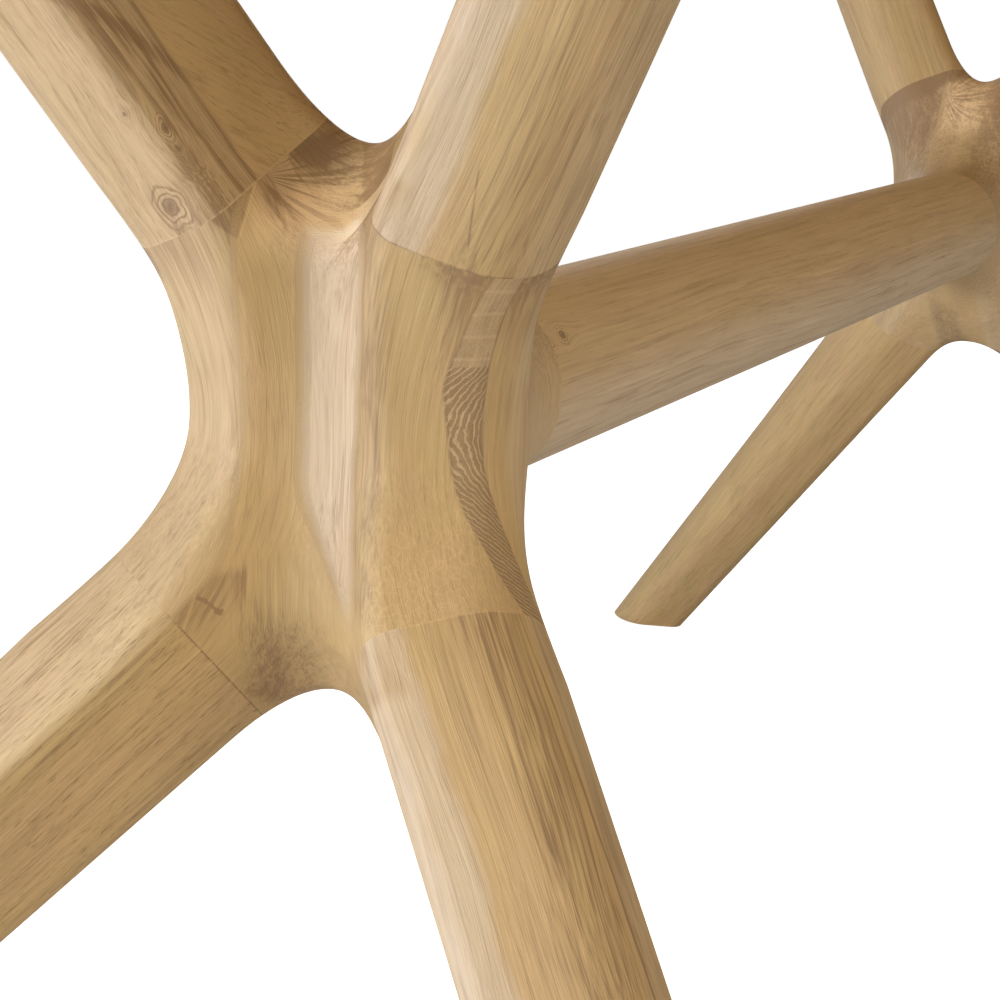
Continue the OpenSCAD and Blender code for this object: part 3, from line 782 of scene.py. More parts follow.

# Painted shade and painted highlights on the boards, deeper where the change of tone is positive and paler
# where it is negative: change of tone, then the region's ramps
SHADE_BESIDE_STRIP = (("y", -0.0020, -0.0090), ("y", -0.030, -0.020), ("z", -0.050, -0.040))
PAINTED_LIGHT_PATCHES = (
    (-0.22, ("y", 0.0090, 0.0045), ("y", -0.0030, 0.0030), ("z", -0.058, -0.048)),
    (0.27, *SHADE_BESIDE_STRIP),
    (0.23, *SHADE_BESIDE_STRIP, ("z", 0.045, 0.060)),
    (0.48, ("z", -0.046, -0.062), ("y", -0.004, 0.005), ("y", 0.021, 0.011)),
    (-0.30, ("z", -0.052, -0.062), ("y", -0.002, -0.010), ("y", -0.020, -0.014)),
    (0.20, ("y", 0.0085, 0.0120), ("y", 0.020, 0.016), ("z", -0.010, -0.022)),
    (-0.22, ("z", -0.024, -0.034), ("y", -0.047, -0.039), ("y", -0.026, -0.034)),
    (0.42, ("z", 0.022, 0.040), ("y", -0.036, -0.045)),
    (0.14, ("z", 0.000, 0.014), ("y", -0.034, -0.038)),
    (0.28, ("z", 0.034, 0.052), ("y", 0.023, 0.028)))

BOARD_GRAIN = {"Pith": (0.10, 0.03, 0.0), "Ring Width": 0.0030, "Rings": 0.12, "Mottle": 0.5,
               "Streaks": 1.0, "Pores": 0.10, "Wander": 0.4, "Seed": 3.0}
LAYER_GRAIN = {"Pith": LAYER_PITH, "Ring Width": 0.0015, "Rings": 0.0, "Mottle": 0.7,
               "Streaks": 0.5, "Pores": 0.6, "Wander": 0.5, "Seed": 8.0}
# Share of a limb's sweep that the grain of the hub's boards follows, and how far the boards'
# figures lie apart
GRAIN_FOLLOWS = 0.7
STRIP_APART = 0.13
LEFT_APART = 0.29
RING_LINES = 0.00125
BRICK_ROWS = 0.0033


class HubPlace:
    """Nodes that tell where a point lies on a hub. One wave bends all its glue lines a little."""

    def __init__(self, w, end):
        base = settings().base
        coords = w.node("ShaderNodeTexCoord").outputs["Object"]
        middle = (-base.hub_spacing / 2, 0, -base.hub_height)
        values = {"Vector": coords, "Location": middle, "Scale": (end, 1, 1)}
        self.w = w
        self.v = w.node("ShaderNodeMapping", values, vector_type="POINT").outputs[0]
        self.x, self.y, self.z = w.split(self.v)
        self.wave = w.centred(w.noise(self.v, 55.0), 0.0016)

    def beyond(self, plane):
        """Distance past a plane."""
        return self.w.total(self.w.plane(self.v, *plane), self.wave)

    def past(self, plane, soft=0.0004):
        return self.w.step(self.beyond(plane), -soft, soft)

    def aside(self, edge, sign):
        """Distance past an upright edge, towards +y or -y by sign."""
        place, turn, slope = edge
        w = self.w
        below = w.math("SMOOTH_MAX", w.math("SUBTRACT", turn, self.z), 0.0, 0.012)
        return w.total(w.times(self.y, sign), -place * sign, w.times(below, -slope), self.wave)

    def within(self, *ramps):
        return self.w.times(*[self.w.step(getattr(self, axis), low, high) for axis, low, high in ramps])


def hub_boards(at):
    """Upright boards of a hub: masks of the pale strip and of the left board, the distance past
    the left board's edge, and the grain. It sweeps out into the limbs, but runs straight down
    low in the valley."""
    w, y, z = at.w, at.y, at.z
    strip = w.times(w.step(at.aside(STRIP_LEFT, -1.0), -0.0026, 0.0026), at.past(STRIP_EDGE, 0.0010),
                    at.within(*STRIP_REACH))
    beyond = at.aside(LEFT_EDGE, 1.0)
    left = w.step(beyond, -0.0009, 0.0009)
    lean = w.times(w.math("MINIMUM", w.math("SUBTRACT", z, LEFT_EDGE[1]), 0.0),
                   at.within(("y", 0.0, 0.010)), at.past(LOW_SPLIT))
    high = at.within(("z", -0.004, 0.004))

    def swing(limb, kind):
        """How far a limb's middle line has gone from the hub's middle at this height."""
        slope, bend = limb[kind + "_slope"], limb[kind + "_bend"]
        return w.math("SUBTRACT", w.math("SQRT", w.total(w.times(z, z, slope ** 2), bend ** 2)), bend)

    def follow(kind):
        return w.times(w.blend(high, swing(LOWER, kind), swing(UPPER, kind)), -GRAIN_FOLLOWS)

    board = w.total(w.times(strip, STRIP_APART), w.times(left, LEFT_APART))
    hand = w.step(y, -0.050, 0.050, -1.0, 1.0)
    sweep = w.join(w.total(board, w.times(lean, 0.5), follow("out")),
                   w.total(w.times(lean, 0.4), w.times(follow("side"), hand)), 0.0)
    swept, plumb = [
        w.group(shared("grain", oak_grain_group), {"Vector": w.vector("ADD", at.v, push), **BOARD_GRAIN})
        for push in (sweep, w.join(board, 0.0, 0.0))]
    valley = at.within(*LOW_VALLEY)
    grain = {key: w.blend(valley, swept[key], plumb[key]) for key in ("Tone", "Pore", "Gold", "Height")}
    return strip, left, beyond, grain


def hub_marks(at, left, beyond):
    """Change of tone on the boards by glue lines, painted shade and painted highlights, a crack, a dark spot
    low in the valley and fine crackle.
    """
    w, v = at.w, at.v
    to_strip = at.beyond(STRIP_EDGE)
    # Painted shade on the right member just past the pale strip's edge, where its ridge turns away from the
    # light
    beside = w.times(w.step(to_strip, 0.0, -0.001), w.step(to_strip, -0.013, -0.004),
                     at.within(("y", 0.01, 0.0)))
    triangle = w.times(*[w.inverse(at.past(plane)) for plane in TRIANGLE], at.within(("z", 0.050, 0.055)))
    # Blotchy painted shade on the hub's right front, just below the right arm's seam
    shade_below_right_seam = w.times(w.step(w.plane(v, *ARM_SEAM_RIGHT), -0.011, 0.0), at.within(("y", -0.030, -0.046)),
                     w.step(w.noise(v, 420.0, detail=3.0), 0.35, 0.6))
    corner = w.times(w.inverse(at.past(LOW_SPLIT, 0.001)), at.within(("z", -0.036, -0.041)),
                     w.inverse(left), w.step(at.z, -0.064, -0.048, 0.1, 1.0), w.step(beyond, -0.014, -0.005))
    # Painted highlight on the left ridge, just past the left board's edge, low on the hub
    ridge_highlight = w.times(w.step(beyond, 0.0, 0.001), w.step(beyond, 0.010, 0.006),
                    at.within(("z", -0.010, -0.022)))

    place, way, half = CRACK
    jitter = w.vector("SUBTRACT", w.noise(v, 260.0, detail=3.0, colour=True), (0.5, 0.5, 0.5))
    out = w.vector("ADD", w.vector("SUBTRACT", v, place), w.vector("SCALE", jitter, scale=0.0036))
    run = w.vector("DOT_PRODUCT", out, way)
    wide = w.vector("LENGTH", w.vector("SUBTRACT", out, w.vector("SCALE", way, scale=run)))
    crack = w.times(w.step(wide, 0.0009, 0.0003), w.step(w.math("ABSOLUTE", run), half, 0.7 * half))
    far = w.total(w.vector("DISTANCE", v, LOW_DARK_SPOT), w.centred(w.noise(v, 300.0, detail=3.0), 0.012))
    cells = w.node("ShaderNodeTexVoronoi", {"Vector": v, "Scale": 330.0}, feature="DISTANCE_TO_EDGE")

    return w.total(
        w.times(beside, 0.34), w.times(triangle, 0.50), w.times(shade_below_right_seam, 0.55), w.times(corner, 0.60),
        w.times(w.line(beyond, 0.0011), -0.25), w.times(ridge_highlight, -0.28), w.times(crack, 1.1),
        w.times(w.step(far, 0.0100, 0.0030), 0.6),
        w.times(w.step(cells.outputs[0], 0.09, 0.03), at.within(*CRACKLE), -0.35),
        *[w.times(w.line(at.beyond(plane), wide), at.within(*region), change)
          for plane, wide, region, change in GLUE_LINES],
        *[w.times(at.within(*ramps), change) for change, *ramps in PAINTED_LIGHT_PATCHES])


def layer_end_grain(at, back, low):
    """Cross layer on the hub's right side: wavy growth rings below, rows like bricks above.
    Gives its tone and the rings."""
    w, x, z = at.w, at.x, at.z
    bend = w.centred(w.noise(at.v, 190.0, detail=3.0, rough=0.6), 0.0030)
    arc = w.vector("DISTANCE", w.join(w.total(x, bend), z, 0.0), LAYER_PITH)
    lines = w.math("FRACT", w.math("DIVIDE", arc, RING_LINES))
    lines = w.times(w.step(lines, 0.45, 0.75), w.step(lines, 1.0, 0.85), low)
    joint = w.math("PINGPONG", w.total(z, w.times(bend, 0.4), -0.0005), BRICK_ROWS)
    bricks = w.line(w.total(joint, -0.0002), 0.0004)
    rows = w.noise(w.join(w.times(back, 1500.0), w.times(z, 60.0), 0.0))
    upper = w.times(w.total(w.times(bricks, -0.25), w.centred(rows, 1.1)), w.inverse(low))
    return w.total(0.42, w.times(low, 0.48), w.times(lines, -0.70), upper), lines


def crotch_fan(at):
    """Fan of dark strokes in the upper crotch, and the painted shade over it and along the left seam."""
    w = at.w
    _, fy, fz = w.split(w.vector("SUBTRACT", at.v, FAN_START))
    far = w.vector("LENGTH", w.join(0.0, fy, fz))
    swing = w.total(w.math("ARCTAN2", fz, w.times(fy, -1.0)), w.times(far, -9.0))
    strokes = w.noise(w.join(w.times(swing, 8.0), w.times(far, 24.0), 0.0), detail=3.5, rough=0.62)
    strokes = w.times(w.step(strokes, 0.48, 0.60), w.step(far, 0.040, 0.014), at.within(*FAN_REACH))
    out = w.vector("MULTIPLY", w.vector("SUBTRACT", at.v, CROTCH_SHADE_SPOT), (0.8, 0.8, 1.3))
    seam = w.times(w.step(w.plane(at.v, *ARM_SEAM_LEFT), -0.014, -0.006),
                   at.within(("y", 0.006, 0.010), ("x", 0.030, 0.022)), 0.60)
    return strokes, w.math("MAXIMUM", w.step(w.vector("LENGTH", out), 0.0190, 0.002), seam)


def oak_hub_material(name, end):
    """Oak of a hub, laid up from upright boards with one thin cross layer between two upright
    planes, whose grain runs sideways and shows its end grain on the hub's right side."""
    mat, w, shader = new_material(name)
    at = HubPlace(w, end)
    right, crotch, low = at.within(*RIGHT_SIDE), at.within(*CROTCH), at.within(*END_GRAIN)
    depth, reach = LAYER_DIP
    dip = w.times(w.math("POWER", math.e, w.times(at.z, at.z, -1.0 / reach ** 2)), depth, right)
    front, back = w.math("ADD", at.beyond(LAYER_FRONT), dip), at.beyond(LAYER_BACK)
    layer = w.times(w.step(front, 0.0004, -0.0004), w.step(back, -0.0004, 0.0004),
                    w.math("MAXIMUM", right, crotch))
    keep = w.inverse(layer)

    strip, left, beyond, grain = hub_boards(at)
    boards = w.total(grain["Tone"], w.times(strip, 0.03), hub_marks(at, left, beyond))
    across = w.group(shared("grain", oak_grain_group),
                     {"Vector": w.join(at.x, at.z, at.y), **LAYER_GRAIN})
    end_tone, rings = layer_end_grain(at, back, low)
    strokes, crotch_shade = crotch_fan(at)
    end_tone = w.total(end_tone, w.times(across["Tone"], 0.6))
    fan_tone = w.total(w.times(across["Tone"], 0.7), strokes, -0.50)
    glue = w.math("MAXIMUM", w.line(front, 0.0006), w.line(back, 0.0006))
    # The crotch shade and the inner side's shade in this tone are painted shade.
    tone = w.total(
        w.blend(layer, boards, w.blend(crotch, end_tone, fan_tone)), w.times(strokes, keep, 0.55),
        w.times(crotch_shade, 1.05), w.times(glue, right, 0.30), w.times(left, 0.24),
        w.times(at.within(*INNER_SIDE_SHADE), 0.38))
    # Painted light: the upper crotch is made paler and brighter, less so under the painted crotch shade
    upper = at.within(*LIT_UPPER_CROTCH)
    pale = w.total(w.times(strip, 0.85), w.times(left, 0.25), w.times(layer, right, 0.4),
                   w.times(upper, 0.3), w.times(at.within(("x", 0.008, 0.0)), right, 0.4))
    colour = w.group(shared("colour", oak_colour_group), {
        "Tone": tone, "Pore": w.times(grain["Pore"], keep), "Gold": grain["Gold"], "Pale": pale,
        "Light": w.total(1.0, w.times(upper, w.total(0.42, w.times(crotch_shade, -0.52))))})
    height = w.blend(layer, grain["Height"], w.total(across["Height"], w.times(rings, 0.8)))
    finish_wood(w, shader, colour["Color"], colour["Roughness"], height)
    return mat


def metal_material(name, colour, rough, metallic=1.0, scale=900.0):
    """Coated or plated metal with a fine uneven finish."""
    mat, w, shader = new_material(name)
    coords = w.node("ShaderNodeTexCoord").outputs["Object"]
    grit = w.noise(coords, scale, 3.0, 0.6)
    shade = w.mix(w.math("MULTIPLY", grit, 0.35), rgba(colour), rgba([0.6 * c for c in colour]))
    w.tree.links.new(shade, shader.inputs["Base Color"])
    w.tree.links.new(w.math("ADD", rough - 0.08, w.math("MULTIPLY", grit, 0.16)), shader.inputs["Roughness"])
    bump = w.node("ShaderNodeBump", {"Strength": 0.25, "Distance": 0.0002, "Height": grit})
    w.tree.links.new(bump.outputs[0], shader.inputs["Normal"])
    shader.inputs["Metallic"].default_value = metallic
    return mat


def dress(node, material):
    """Gives a CAD node's object one material."""
    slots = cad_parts[node].data.materials
    slots.clear()
    slots.append(material)


# Knots in the frame of the front hub: place, axis in the table, radius and length over width
ARM_KNOTS = (((0.0404, 0.0386, 0.0645), (-0.89, 0.21, -0.40), 0.0062, 1.10),
             ((0.0531, 0.0462, 0.0906), (-0.90, 0.05, -0.43), 0.0016, 1.0),
             ((0.0486, 0.0358, 0.0869), (-0.57, -0.80, 0.22), 0.0019, 2.4),
             ((0.0467, 0.0331, 0.0814), (-0.77, -0.64, 0.04), 0.0012, 2.0))
BEAM_KNOTS = (((-0.1001, -0.0249, 0.0173), (0, -0.82, 0.58), 0.0030, 1.6),
              ((-0.0863, -0.0259, 0.0158), (0, -0.82, 0.58), 0.0026, 1.8))

FRONT_LEFT_ARM = {
    "grain": {"Seed": 11.0, "Pith": (0.05, -0.09, 0.0), "Ring Width": 0.0050, "Rings": 0.22,
              "Mottle": 0.8, "Pores": 0.5},
    "bands": (
        (8, 34, 0.4, 0.22, 0.30, -0.3), (45, 3.4, 0.4, 0.55, 0.0, 0.5), (58, 10, 0.6, 0.34, 0.30, 0.5),
        (69, 1.2, 0.5, 0.60, 0.0, 0.0), (98, 3.4, 2.2, 0.50, 0.0, 0.5, -770.0, 0.026, 1.0),
        # The band at 101 degrees is painted light: it lightens the arm's inner face, which faces away from
        # the lamps, and gives it stronger streaks.
        (101, 30, 2, -0.54, 0.0, 0.9), (28, 15, 6, 0.33, 0.0, 0.3, 0.0, -0.01, 0.018)),
    "slant": ((101, 31, 0.55),), "seam": (-0.9, 95, 50)}
FRONT_RIGHT_ARM = {
    "grain": {"Seed": 12.0, "Pith": (0.03, 0.05, 0.0), "Rings": 0.20, "Mottle": 0.7, "Pores": 0.18},
    "stretch": 1.4,
    "bands": (
        (-45, 8, 6, 0.15, 0.8, 0), (-28, 9, 5, -0.25, 0.9, -0.3), (14, 16, 8, 0.22, 0.0, 0.3),
        (50, 20, 10, 0.25, 0.35, 0.3), (3.5, 0.6, 0.5, 0.7, 0.0, 0, -400.0, 0.004, 0.036),
        # The last band is painted shade: it dims the highlight on the arm's left side where it leaves the
        # hub, and makes it less pale.
        (-40, 6, 5, 0.35, -0.30, 0.0, 0.0, -0.01, 0.022)),
    "seam": (0.65, -10, 40)}
FRONT_LEFT_LEG = {
    "grain": {"Seed": 13.0, "Pith": (0.10, -0.02, 0.0), "Rings": 0.10, "Mottle": 0.6, "Pores": 0.85,
              "Wander": 0.4},
    # The bands at -49 and -36 degrees are painted shade below the ridge and a painted highlight above it,
    # which sharpen the change of light at the ridge.
    "bands": ((-44.5, 1.3, 0.7, 0.35, 0.0, 0), (-5, 38, 0.6, 0.10, 0.30, 0.5), (-49, 5, 3, 0.22, 0.0, 0),
              (-36, 5, 4, -0.25, 0.0, 0), (-90, 42, 4, -0.02, 0.0, 0.5)),
    "seam": (0.9, -90, 44)}
FRONT_RIGHT_LEG = {
    "grain": {"Seed": 14.0, "Pith": (0.04, 0.07, 0.0), "Rings": 0.16, "Pores": 0.18, "Mottle": 0.8},
    "stretch": 1.6,
    "bands": (
        (-58, 10, 4, 0.34, 0.5, 0), (-42.6, 1.0, 0.5, 0.75, 0.0, 0, -70.0),
        (-34, 8.5, 3, 0.46, 0.0, 1.0), (-16, 10, 5, 0.36, 0.0, 1.0), (2, 12, 5, 0.10, 0.0, 0),
        (31, 8, 4, -0.20, 0.9, -0.3), (46, 8, 4, 0.15, 0.9, -0.3),
        # The last band is painted shade: it dims the highlight on the leg's left corner where it leaves the
        # hub, and makes it less pale.
        (38, 9, 5, 0.40, -0.45, 0.0, 0.0, -0.01, 0.022)),
    "seam": (-0.6, -10, 30)}


def knots_on(table, end, side):
    """Knots of a table, their places carried from a hub's frame to the table's."""
    return [(to_table(np.array(spot), end, side), *rest) for spot, *rest in table]


def plain_look(seed, **more):
    """Look of a limb that has no marks of its own."""
    grain = {"Seed": float(seed), "Pith": (0.05, 0.08, 0.0), "Pores": 0.35}
    return {"grain": grain, "stretch": 1.8, **more}


# Planks in turn: place of the pith across a plank and below it, lightness and pale share
PLANKS = ((0.30, -0.070, 1.00, 0.10), (0.75, -0.050, 0.93, 0.00), (0.45, -0.085, 1.06, 0.35),
          (1.40, -0.060, 0.97, 0.10), (0.55, -0.055, 1.02, 0.00), (-0.30, -0.080, 0.95, 0.30),
          (0.60, -0.065, 1.04, 0.15), (0.40, -0.090, 0.98, 0.05))


def plank_look(i, wide):
    """Look of a flat-sawn plank, whose face cuts its wandering growth rings at a low angle."""
    across, below, light, pale = PLANKS[i % len(PLANKS)]
    grain = {"Seed": 41.0 + i, "Pith": (across * wide, below, 0.0), "Ring Width": 0.0050,
             "Rings": 0.55, "Mottle": 0.4, "Streaks": 1.0, "Pores": 0.6, "Wander": 2.4}
    return {"grain": grain, "stretch": 5.0, "light": light, "pale": pale, "board": wide}


class TABLE_OT_hubs(bpy.types.Operator):
    """Add the two sculpted hub blocks"""
    bl_idname = "oak_table.hubs"
    bl_label = "Hubs"

    def execute(self, context):
        base = settings().base
        rings, tips = hub_points()
        upper, lower = joint_of(UPPER, True), joint_of(LOWER, False)
        for end_name, end in ENDS:
            points, faces = loft(to_table(rings, end, 1), *to_table(tips, end, 1))
            piece = new_piece(f"oak_hub_{end_name}", points, faces, [f"hub_{end_name}"])
            flips = [np.array([end, s, 1.0]) for _, s in SIDES]
            planes = [(to_table(j[0], end, s), j[1] * flip) for (_, s), flip in zip(SIDES, flips)
                      for j in (upper, lower)]
            planes.append((to_table(np.array([-base.beam_joint, 0, 0]), end, 1), (-end, 0, 0)))
            cut_flat(piece.data, planes)
            finish_mesh(piece.data)
            piece.data.materials.append(oak_hub_material(f"oak hub {end_name}", end))
        return {"FINISHED"}


class TABLE_OT_upper_arms(bpy.types.Operator):
    """Add the four upper arms"""
    bl_idname = "oak_table.upper_arms"
    bl_label = "Upper arms"

    def execute(self, context):
        base = settings().base
        stop = base.arm_top - base.hub_height
        rings = limb_rings(UPPER, True, stop, ARM_RINGS)
        for n, (place, end, side) in enumerate(QUARTERS):
            points, faces = loft(to_table(rings, end, side))
            piece = new_piece(f"oak_upper_arm_{place}", points, faces, [f"upper_arm_{place}"])
            axes, origin = limb_axes(UPPER, True, end, side)
            look = {"front_left": FRONT_LEFT_ARM, "front_right": FRONT_RIGHT_ARM}.get(
                place, plain_look(15 + n))
            if place == "front_left":
                look = {**look, "knots": knots_on(ARM_KNOTS, end, side)}
            piece.data.materials.append(oak_limb_material(f"oak upper arm {place}", axes, origin, look))
        return {"FINISHED"}


class TABLE_OT_legs(bpy.types.Operator):
    """Add the four legs, each with a recess for its glide"""
    bl_idname = "oak_table.legs"
    bl_label = "Legs"

    def execute(self, context):
        base = settings().base
        stop = base.foot_bottom - base.hub_height
        rings = limb_rings(LOWER, False, stop + base.foot_edge, LEG_RINGS)
        foot = np.array([*[float(c) for c in middle_line(np.array(stop))[:2]], stop])
        sole = inset_ring(rings[-1], base.foot_edge, -base.foot_edge)
        rim = circle_ring(sole, foot, base.glide_radius, stop)
        deep = circle_ring(sole, foot, base.glide_radius, stop + base.glide_recess)
        rings = np.concatenate([rings, [sole, rim, deep]])
        for n, (place, end, side) in enumerate(QUARTERS):
            points, faces = loft(to_table(rings, end, side))
            piece = new_piece(f"oak_leg_{place}", points, faces, [f"leg_{place}"])
            axes, origin = limb_axes(LOWER, False, end, side)
            golden = plain_look(25 + n, light=0.95, colour={"Middle": rgba(settings().oak.golden)})
            look = {"front_left": FRONT_LEFT_LEG, "front_right": FRONT_RIGHT_LEG}.get(place, golden)
            piece.data.materials.append(oak_limb_material(f"oak leg {place}", axes, origin, look))
        return {"FINISHED"}


class TABLE_OT_beam(bpy.types.Operator):
    """Add the round beam between the hubs"""
    bl_idname = "oak_table.beam"
    bl_label = "Beam"

    def execute(self, context):
        base = settings().base
        half = base.hub_spacing / 2
        x = np.linspace(-half + base.beam_joint, half - base.beam_joint, BEAM_RINGS)
        angle = np.linspace(0, 2 * np.pi, base.around, endpoint=False)
        way = np.stack([0 * angle, np.cos(angle), np.sin(angle)], -1)
        start = np.stack([np.abs(x) - half, 0 * x, 0 * x], -1)[:, None]
        way = np.broadcast_to(way, (len(x), base.around, 3))
        rings = surface_along(base_distance, start, way, RAY_NEAR, RAY_FAR)
        rings[..., 0] = x[:, None]
        rings[..., 2] += base.hub_height
        points, faces = loft(rings)
        piece = new_piece("oak_beam", points, faces, ["beam"])
        look = plain_look(31, stretch=3.0, pale=0.25, bands=((-140, 45, 20, 0.10, 0.75, 0),),
                          knots=knots_on(BEAM_KNOTS, -1, 1))
        piece.data.materials.append(oak_limb_material("oak beam", LENGTHWAYS, (0, 0, base.hub_height), look))
        return {"FINISHED"}


def top_outline(inset, z):
    """Rounded rectangle of the top at height z, drawn in by inset, corner by corner."""
    top = settings().top
    r = top.corner - inset / 2
    angle = np.linspace(0, np.pi / 2, CORNER_STEPS + 1)
    turn = np.concatenate([angle + k * np.pi / 2 for k in range(4)])
    sx = np.repeat([1, -1, -1, 1], CORNER_STEPS + 1)
    sy = np.repeat([1, 1, -1, -1], CORNER_STEPS + 1)
    return np.column_stack([sx * (top.length / 2 - inset - r) + r * np.cos(turn),
                            sy * (top.width / 2 - inset - r) + r * np.sin(turn), np.full(len(turn), z)])


class TABLE_OT_top(bpy.types.Operator):
    """Add the planks of the top, cut from one body with its bevel and soft upper edge"""
    bl_idname = "oak_table.top"
    bl_label = "Plank top"

    def execute(self, context):
        top = settings().top
        under = top.height - top.thickness
        quarter = np.linspace(0, np.pi / 2, EDGE_STEPS)
        rings = [top_outline(top.bevel_in, under), top_outline(0, under + top.bevel_up)]
        rings += [top_outline(top.edge * (1 - math.cos(a)), top.height - top.edge * (1 - math.sin(a)))
                  for a in quarter]
        points, faces = loft(np.array(rings))
        wide = top.width / top.planks
        for i in range(top.planks):
            low = -top.width / 2 + i * wide
            piece = new_piece(f"oak_top_plank_{i + 1}", points, faces, [f"top_plank_{i + 1}"])
            planes = []
            if i > 0:
                planes.append(((0, low, 0), (0, -1, 0)))
            if i < top.planks - 1:
                planes.append(((0, low + wide, 0), (0, 1, 0)))
            cut_flat(piece.data, planes)
            finish_mesh(piece.data)
            origin = (0, low, top.height)
            piece.data.materials.append(
                oak_limb_material(f"oak plank {i + 1}", LENGTHWAYS, origin, plank_look(i, wide)))
        return {"FINISHED"}


class TABLE_OT_fixings(bpy.types.Operator):
    """Finish the steel fixings, dowels and glides that the frame carries"""
    bl_idname = "oak_table.fixings"
    bl_label = "Fixings"

    def execute(self, context):
        coat = metal_material("black powder coat", (0.025, 0.025, 0.026), 0.55, 0.0)
        dark = metal_material("black oxide steel", (0.09, 0.09, 0.10), 0.40)
        zinc = metal_material("zinc plated steel", (0.58, 0.58, 0.60), 0.33)
        nylon = metal_material("matte nylon", (0.09, 0.075, 0.065), 0.60, 0.0)
        for place, _, _ in QUARTERS:
            dress(f"top_plate_{place}", coat)
            dress(f"glide_{place}", nylon)
        dress("top_bolts", dark)
        for node in ("plate_screws", "threaded_inserts", "glide_nails"):
            dress(node, zinc)
        beech = oak_limb_material("beech dowel", LENGTHWAYS, (0, 0, 0), plain_look(61))
        for node in ("arm_dowels_front", "arm_dowels_rear", "beam_dowels"):
            dress(node, beech)
        return {"FINISHED"}


# Soft lights: direction round the front hub and elevation in degrees, distance, width, power
# in watts and colour
LIGHTS = (
    ("low key from the left", 152.9, 6, 2.4, 1.0, 17.6, (1.0, 0.94, 0.84)),
    ("high key from the left", 152.9, 26, 2.4, 1.0, 14.5, (0.95, 1.0, 1.0)),
    ("side key from the left", 118.1, 6, 2.4, 1.0, 24.4, (0.97, 1.0, 1.12)),
    ("warm fill from the right", 252.9, 26, 2.4, 1.0, 20.0, (1.0, 0.84, 0.60)),
    ("over the top", 0.0, 74, 1.65, 1.8, 19.0, (1.0, 1.0, 1.0)),
    ("back light", 26.0, 14, 3.4, 1.4, 13.0, (1.0, 0.97, 0.92)),
)


def add_light(name, turn, rise, far, size, power, colour):
    """Soft square light that faces the front hub from far away along the direction that turn
    and rise give. It doesn't show itself."""
    base = settings().base
    target = Vector((-base.hub_spacing / 2, 0, base.hub_height))
    turn, rise = math.radians(turn), math.radians(rise)
    way = Vector((math.cos(turn) * math.cos(rise), math.sin(turn) * math.cos(rise), math.sin(rise)))
    data = bpy.data.lights.new(name, "AREA")
    data.size = size
    data.energy = power
    data.color = colour
    light = bpy.data.objects.new(name, data)
    bpy.context.scene.collection.objects.link(light)
    light.location = target + far * way
    light.rotation_euler = (-way).to_track_quat("-Z", "Y").to_euler()
    light.visible_camera = False


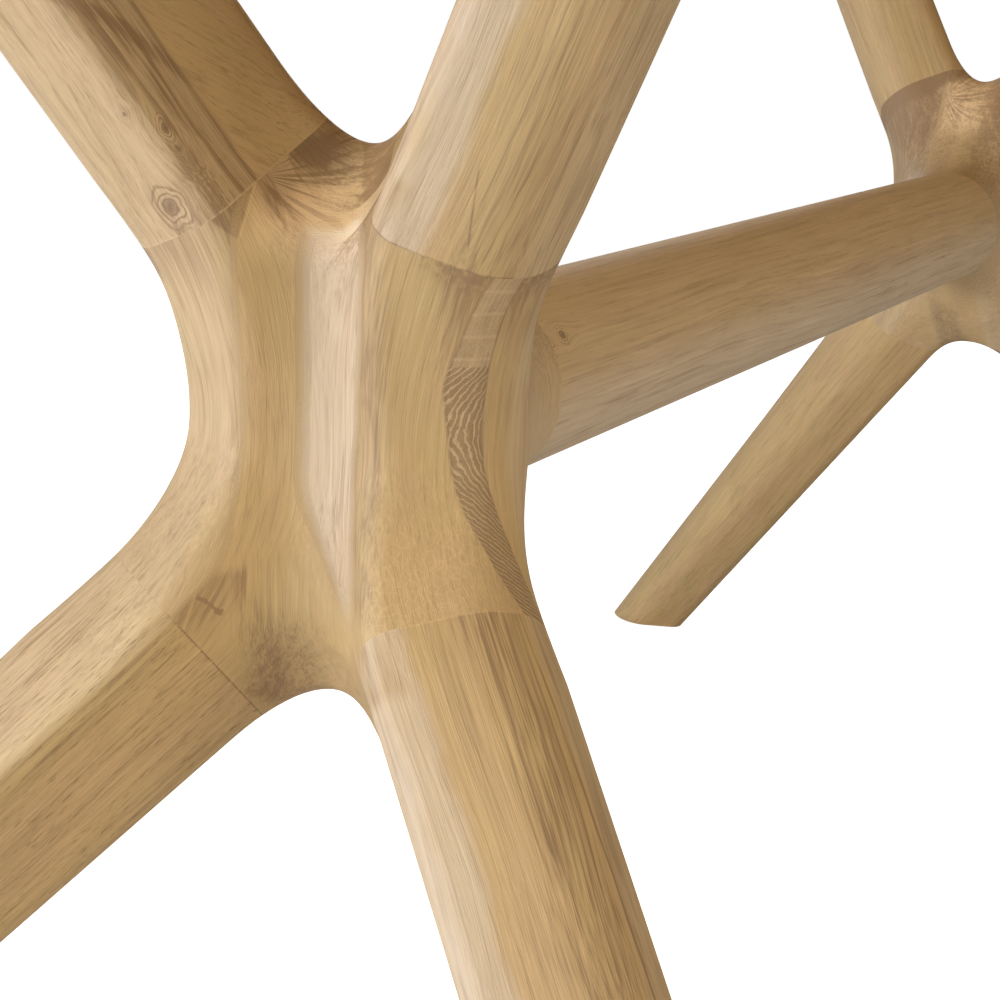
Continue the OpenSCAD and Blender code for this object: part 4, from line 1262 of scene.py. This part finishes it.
class TABLE_OT_stage(bpy.types.Operator):
    """Add the camera, the pale floor and the soft light"""
    bl_idname = "oak_table.stage"
    bl_label = "Stage"

    def execute(self, context):
        scene = context.scene
        stage = settings().stage
        scene.view_settings.view_transform = "Standard"
        self.add_camera(scene, stage)
        self.add_floor(scene, stage)
        self.add_room(scene, stage)
        for light in LIGHTS:
            add_light(*light)
        return {"FINISHED"}

    def add_camera(self, scene, stage):
        """Camera whose axes follow from pitch, yaw and roll: the table's X, Y and Z are first
        written in the camera's own directions, then turned round."""
        ct, st = math.cos(stage.pitch), math.sin(stage.pitch)
        cp, sp = math.cos(stage.yaw), math.sin(stage.yaw)
        x = np.array([sp, -cp * st, cp * ct])
        z = np.array([0.0, -ct, -st])
        rows = np.array([x, np.cross(z, x), z])
        c, s = math.cos(stage.roll), math.sin(stage.roll)
        rows = rows @ np.array([[c, s, 0], [-s, c, 0], [0, 0, 1]])
        pose = Matrix.Identity(4)
        for i in range(3):
            pose[i][0], pose[i][1], pose[i][2] = rows[i][0], -rows[i][1], -rows[i][2]
            pose[i][3] = stage.camera_place[i]
        data = bpy.data.cameras.new("camera")
        data.lens = stage.lens
        data.sensor_width = 36.0
        data.clip_end = 200.0
        camera = bpy.data.objects.new("camera", data)
        scene.collection.objects.link(camera)
        camera.matrix_world = pose
        scene.camera = camera

    def add_floor(self, scene, stage):
        """Pale floor, clear from below so that the underside can be seen."""
        half = stage.floor_size / 2
        mesh = bpy.data.meshes.new("floor")
        corners = [(-half, -half, 0), (half, -half, 0), (half, half, 0), (-half, half, 0)]
        mesh.from_pydata(corners, [], [(0, 1, 2, 3)])
        floor = bpy.data.objects.new("floor", mesh)
        scene.collection.objects.link(floor)
        mat, w, shader = new_material("pale floor")
        seen = w.node("ShaderNodeLightPath").outputs["Is Camera Ray"]
        w.tree.links.new(w.mix(seen, (0, 0, 0, 1), (1, 1, 1, 1)), shader.inputs["Emission Color"])
        shader.inputs["Base Color"].default_value = rgba(stage.floor_colour)
        shader.inputs["Roughness"].default_value = 0.9
        shader.inputs["Specular IOR Level"].default_value = 0.1
        shader.inputs["Emission Strength"].default_value = 0.98
        behind = w.node("ShaderNodeNewGeometry").outputs["Backfacing"]
        w.tree.links.new(w.math("SUBTRACT", 1.0, behind), shader.inputs["Alpha"])
        mesh.materials.append(mat)
        floor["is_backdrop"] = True

    def add_room(self, scene, stage):
        """Pale room that lights little but looks white."""
        world = bpy.data.worlds.new("pale room")
        world.use_nodes = True
        w = Wires(world.node_tree)
        back = world.node_tree.nodes["Background"]
        seen = w.node("ShaderNodeLightPath").outputs["Is Camera Ray"]
        level = w.math("ADD", stage.sky, w.math("MULTIPLY", seen, 1.02 - stage.sky))
        back.inputs["Color"].default_value = (1, 1, 1, 1)
        world.node_tree.links.new(level, back.inputs["Strength"])
        scene.world = world


OPERATORS = (TABLE_OT_hubs, TABLE_OT_upper_arms, TABLE_OT_legs, TABLE_OT_beam, TABLE_OT_top,
             TABLE_OT_fixings, TABLE_OT_stage)


class TABLE_PT_panel(bpy.types.Panel):
    """The table's pieces in the sidebar"""
    bl_idname = "TABLE_PT_panel"
    bl_label = "Oak table"
    bl_space_type = "VIEW_3D"
    bl_region_type = "UI"
    bl_category = "Oak table"

    def draw(self, context):
        for group in (context.scene.oak_table.base, context.scene.oak_table.top,
                      context.scene.oak_table.oak, context.scene.oak_table.stage):
            box = self.layout.box()
            for name in group.__annotations__:
                box.prop(group, name)
        for op in OPERATORS:
            self.layout.operator(op.bl_idname)


CLASSES = (BaseSizes, TopSizes, OakColours, StageSettings, TableSettings) + OPERATORS + (TABLE_PT_panel,)


def register():
    for cls in CLASSES:
        bpy.utils.register_class(cls)
    bpy.types.Scene.oak_table = PointerProperty(type=TableSettings)


def unregister():
    del bpy.types.Scene.oak_table
    for cls in reversed(CLASSES):
        bpy.utils.unregister_class(cls)


def main():
    """Builds the table and its stage."""
    register()
    for op in OPERATORS:
        group, name = op.bl_idname.split(".")
        getattr(getattr(bpy.ops, group), name)()
    plain = lambda box: [[float(c) for c in corner] for corner in box]
    {"cad": plain(CAD_BOX), "visual": plain(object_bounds())}


if __name__ == "__main__":
    main()
